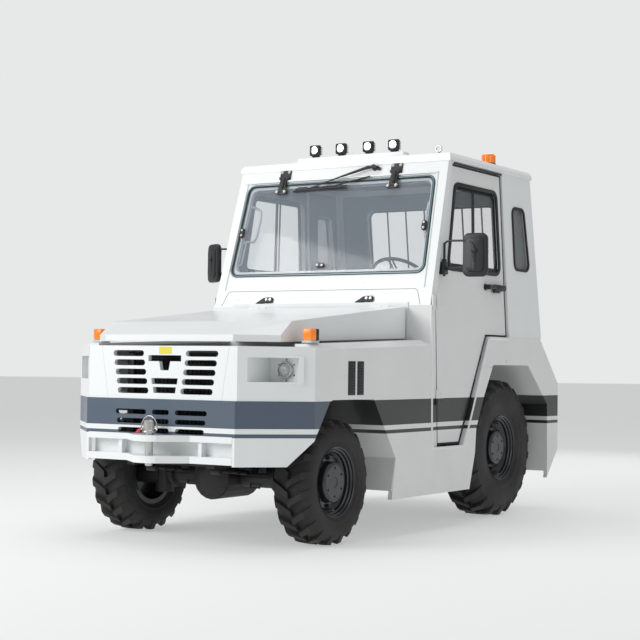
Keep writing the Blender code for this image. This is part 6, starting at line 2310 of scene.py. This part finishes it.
# ------------------------------------------------------------------ underside
@dataclass
class Underside(Assembly):
    """Leaf springs, axle covers, tie rod and drive shaft."""

    rail_middle: float = 0.3

    def build(self) -> None:
        """Builds the underside's pieces."""
        for axle, reach in (("front", 0.46), ("rear", 0.52)):
            self.springs(axle, reach)
            self.cover(axle)
        self.tie_rod()
        self.shaft()

    def springs(self, axle: str, reach: float) -> None:
        """Leaf springs of one axle, with their clamps and eyes.

        Args:
            axle: Front or rear.
            reach: Half length of the longest leaf.
        """
        middle = self.place.middle(f"{axle}_axle")
        station = getattr(self.place, f"{axle}_axle")
        tube = 0.075 if axle == "front" else 0.095
        seat = middle.z + (0.06 if axle == "front" else 0.055)
        parts = []
        for side in (-1, 1):
            across = side * (self.rail_middle - 0.055)
            for leaf in range(4):
                half = reach * (1.0 - 0.2 * leaf)
                top = seat + 0.052 - leaf * 0.0105
                points = [(across, station + half * share, top - 0.045 * share * share)
                          for share in (-1.0, -0.66, -0.33, 0.0, 0.33, 0.66, 1.0)]
                strip = [Bench.cuboid("leaf", (across - 0.028, first[1], min(first[2], last[2]) - 0.0085),
                                      (across + 0.028, last[1], min(first[2], last[2])), 0.0015, 1)
                         for first, last in zip(points, points[1:])]
                parts.extend(strip)
            for offset in (-0.048, 0.048):
                parts.append(Bench.tube(
                    "clamp",
                    [(across - 0.034, station + offset, seat + 0.062),
                     (across - 0.034, station + offset, middle.z - tube * 0.8),
                     (across + 0.034, station + offset, middle.z - tube * 0.8),
                     (across + 0.034, station + offset, seat + 0.062)], 0.0065
                ))
            for end in (-1, 1):
                spot = (across - 0.034, station + end * reach, seat + 0.004)
                parts.append(Bench.rod("eye", spot, (across + 0.034, spot[1], spot[2]), 0.02, edge=0.003))
        self.shop.fit(Bench.join(f"{axle}_leaf_springs", *parts), Body.CHASSIS, Slot.BLACK, Paint.CAST)

    def cover(self, axle: str) -> None:
        """Bolted cover of the differential.

        Args:
            axle: Front or rear.
        """
        low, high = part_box(f"{axle}_axle")
        middle = self.place.middle(f"{axle}_axle")
        radius = (high.y - low.y) / 2 * 0.78
        height = low.z + (high.y - low.y) / 2 * 0.82
        spot = (0.0, low.y + 0.002, height)
        cover = Bench.lathe(
            "cover",
            [(-0.004, radius), (0.008, radius), (0.012, radius * 0.96), (0.014, radius * 0.8),
             (0.03, radius * 0.62), (0.034, radius * 0.3), (0.034, 0.0)], spot, (0, -1, 0), 40
        )
        first = (0.0, low.y - 0.006, height + radius * 0.89)
        bolts = Bench.around(self.bolt(first, (0, -1, 0), 0.0075, 0.007), spot, (0, -1, 0), 12)
        flange = [Bench.lathe("flange", [(-0.012, 0.0), (-0.012, 0.088), (0.012, 0.088), (0.012, 0.0)],
                              (side * (high.x - 0.05), middle.y, height), (1, 0, 0), 32) for side in (-1, 1)]
        made = Bench.join(f"{axle}_axle_cover", cover, bolts, *flange)
        self.shop.fit(made, Body.CHASSIS, Slot.BLACK, Paint.CAST)

    def tie_rod(self) -> None:
        """Steering cylinder behind the front axle."""
        station = self.place.front_axle + 0.118
        height = self.place.middle("tyre_front_left").z - 0.035
        barrel = Bench.rod("barrel", (-0.16, station, height), (0.16, station, height), 0.026, edge=0.004)
        rod = Bench.rod("rod", (-0.36, station, height), (0.36, station, height), 0.012)
        brackets = [
            Bench.cuboid("bracket", (side * 0.13 - 0.012, station - 0.06, height - 0.03),
                         (side * 0.13 + 0.012, station + 0.03, height + 0.06), 0.004) for side in (-1, 1)
        ]
        made = self.painted(
            "steering_cylinder", (Bench.join("body", barrel, *brackets), Paint.CAST), (rod, Paint.STEEL)
        )
        self.shop.fit(made, Body.CHASSIS, Slot.BLACK)

    def shaft(self) -> None:
        """Drive shaft from the transmission to the rear axle."""
        start = (0.0, self.place.front_axle + 0.2, 0.44)
        end = (0.0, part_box("rear_axle")[0].y - 0.006, self.place.middle("tyre_rear_left").z)
        tube = Bench.rod("tube", start, end, 0.032, edge=0.003)
        yokes = [Bench.rod("yoke", tuple(Vector(start).lerp(Vector(end), share)),
                           tuple(Vector(start).lerp(Vector(end), share + 0.045)), 0.045, edge=0.004)
                 for share in (0.02, 0.935)]
        self.shop.fit(Bench.join("drive_shaft", tube, *yokes), Body.CHASSIS, Slot.BLACK, Paint.CAST)


# ------------------------------------------------------------------ studio
class Studio:
    """Camera, lights and pale floor."""

    place = (5.66855, -9.0829, 1.103)
    yaw = 32.195886
    pitch = 1.610042
    roll = 0.693634
    lens = 85.785
    shift = (-0.004437, 0.000692)
    tone = (0.8, 0.81, 0.81)
    fill = 0.48

    def build(self) -> None:
        """Builds the whole studio."""
        self.camera()
        self.lights()
        self.world()
        self.floor()

    def camera(self) -> None:
        """Aims the camera."""
        yaw, pitch, roll = (math.radians(value) for value in (self.yaw, self.pitch, self.roll))
        ahead = Vector((-math.sin(yaw) * math.cos(pitch), math.cos(yaw) * math.cos(pitch), math.sin(pitch)))
        right = Vector((math.cos(yaw), math.sin(yaw), 0.0))
        above = right.cross(ahead)
        side = right * math.cos(roll) + above * math.sin(roll)
        top = above * math.cos(roll) - right * math.sin(roll)
        bpy.ops.object.camera_add()
        camera = bpy.context.active_object
        columns = (side, top, -ahead, Vector(self.place))
        camera.matrix_world = Matrix(
            (*[[column[row] for column in columns] for row in range(3)], (0.0, 0.0, 0.0, 1.0))
        )
        camera.data.lens = self.lens
        camera.data.sensor_width = 36.0
        camera.data.shift_x, camera.data.shift_y = self.shift
        camera.data.clip_end = 100.0
        bpy.context.scene.camera = camera

    def lights(self) -> None:
        """Adds the soft key, fill and rim lights."""
        for name, place, size, power in (
                ("key", (-4.5, -8.5, 5.0), 5.0, 560.0), ("top", (-0.5, 0.0, 7.5), 7.0, 210.0),
                ("side", (9.0, 0.0, 3.6), 5.0, 60.0), ("back", (-1.0, 8.5, 4.5), 5.0, 120.0)):
            bpy.ops.object.light_add(type="AREA", location=place)
            light = bpy.context.active_object
            light.name = name
            light.data.size = size
            light.data.energy = power
            aim = Vector((0.0, 0.0, 1.1)) - Vector(place)
            light.rotation_euler = aim.to_track_quat("-Z", "Y").to_euler()

    def world(self) -> None:
        """Sets the pale surroundings, which are seen brighter than they light."""
        world = bpy.data.worlds.new("studio")
        world.use_nodes = True
        graph = Graph(world.node_tree)
        background = world.node_tree.nodes["Background"]
        background.inputs["Color"].default_value = (*self.tone, 1.0)
        seen = graph.add("LightPath").outputs["Is Camera Ray"]
        strength = graph.math("ADD", self.fill, graph.math("MULTIPLY", seen, 1.0 - self.fill))
        graph.feed(background, "Strength", strength)
        bpy.context.scene.world = world
        bpy.context.scene.view_settings.view_transform = "Standard"

    def floor(self) -> Thing:
        """Adds the floor."""
        bpy.ops.mesh.primitive_plane_add(size=400.0, location=(0.0, 0.0, 0.0))
        floor = bpy.context.active_object
        floor.name = "floor"
        material = bpy.data.materials.new("pale_floor")
        material.use_nodes = True
        shader = material.node_tree.nodes["Principled BSDF"]
        shader.inputs["Base Color"].default_value = (*(0.6 * value for value in self.tone), 1.0)
        shader.inputs["Emission Color"].default_value = (*self.tone, 1.0)
        shader.inputs["Emission Strength"].default_value = 0.5
        shader.inputs["Roughness"].default_value = 0.9
        floor.data.materials.append(material)
        return floor


# ------------------------------------------------------------------ whole machine
def frame_paints(shop: Workshop) -> None:
    """Finishes the CAD nodes that stay in sight.

    Args:
        shop: Workshop with the finishes.
    """
    shop.keep(Paint.WHITE, "cab_front", "cab_rear_wall", "cab_side_left", "cab_side_right", "roof_panel",
              "hood", "grille_panel", "nose_panel", "front_hitch")
    shop.keep(Paint.NOSE, "front_bumper")
    shop.keep(Paint.SIDE, "side_panel_left", "side_panel_right", "door_left", "door_right",
              "rear_fender_left", "rear_fender_right", "tail_panel")
    shop.keep(Paint.CHASSIS, "chassis_frame", "front_axle", "rear_axle", "cab_floor")
    shop.keep(Paint.CAST, "engine_block", "radiator", "rear_hitch", "steering_knuckle_left",
              "steering_knuckle_right")
    shop.keep(Paint.STEEL, "front_tow_pin")
    shop.keep(Paint.DASH, "dashboard")
    shop.keep(Paint.GLASS, "windshield")
    shop.keep(Paint.SIDE_GLASS, "door_window_left", "door_window_right", "rear_window")
    shop.keep(Paint.QUARTER_GLASS, "quarter_window_left", "quarter_window_right")


def main() -> None:
    """Dresses the tractor and sets up the studio."""
    logging.basicConfig(level=logging.INFO, format="%(name)s: %(message)s")
    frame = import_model()
    shop = Workshop(frame["nodes"])
    place = Layout()
    groups = [
        Wheel(shop, place), Wheel(shop, place, "rear", 22, 0.032, 0.75, 0.232), Headlamps(shop, place),
        TurnSignals(shop, place), RoofLamps(shop, place), RoofFittings(shop, place), Windshield(shop, place),
        Cowl(shop, place), NoseTrim(shop, place), DoorTrim(shop, place), Mirrors(shop, place),
        SideTrim(shop, place), RearWindow(shop, place), Seats(shop, place), Cabin(shop, place),
        InnerShadeSheets(shop, place), RearEnd(shop, place), Underside(shop, place)
    ]
    for group in groups:
        LOG.info("building %s", type(group).__name__)
        group.build()
    frame_paints(shop)
    Studio().build()


if __name__ == "__main__":
    main()
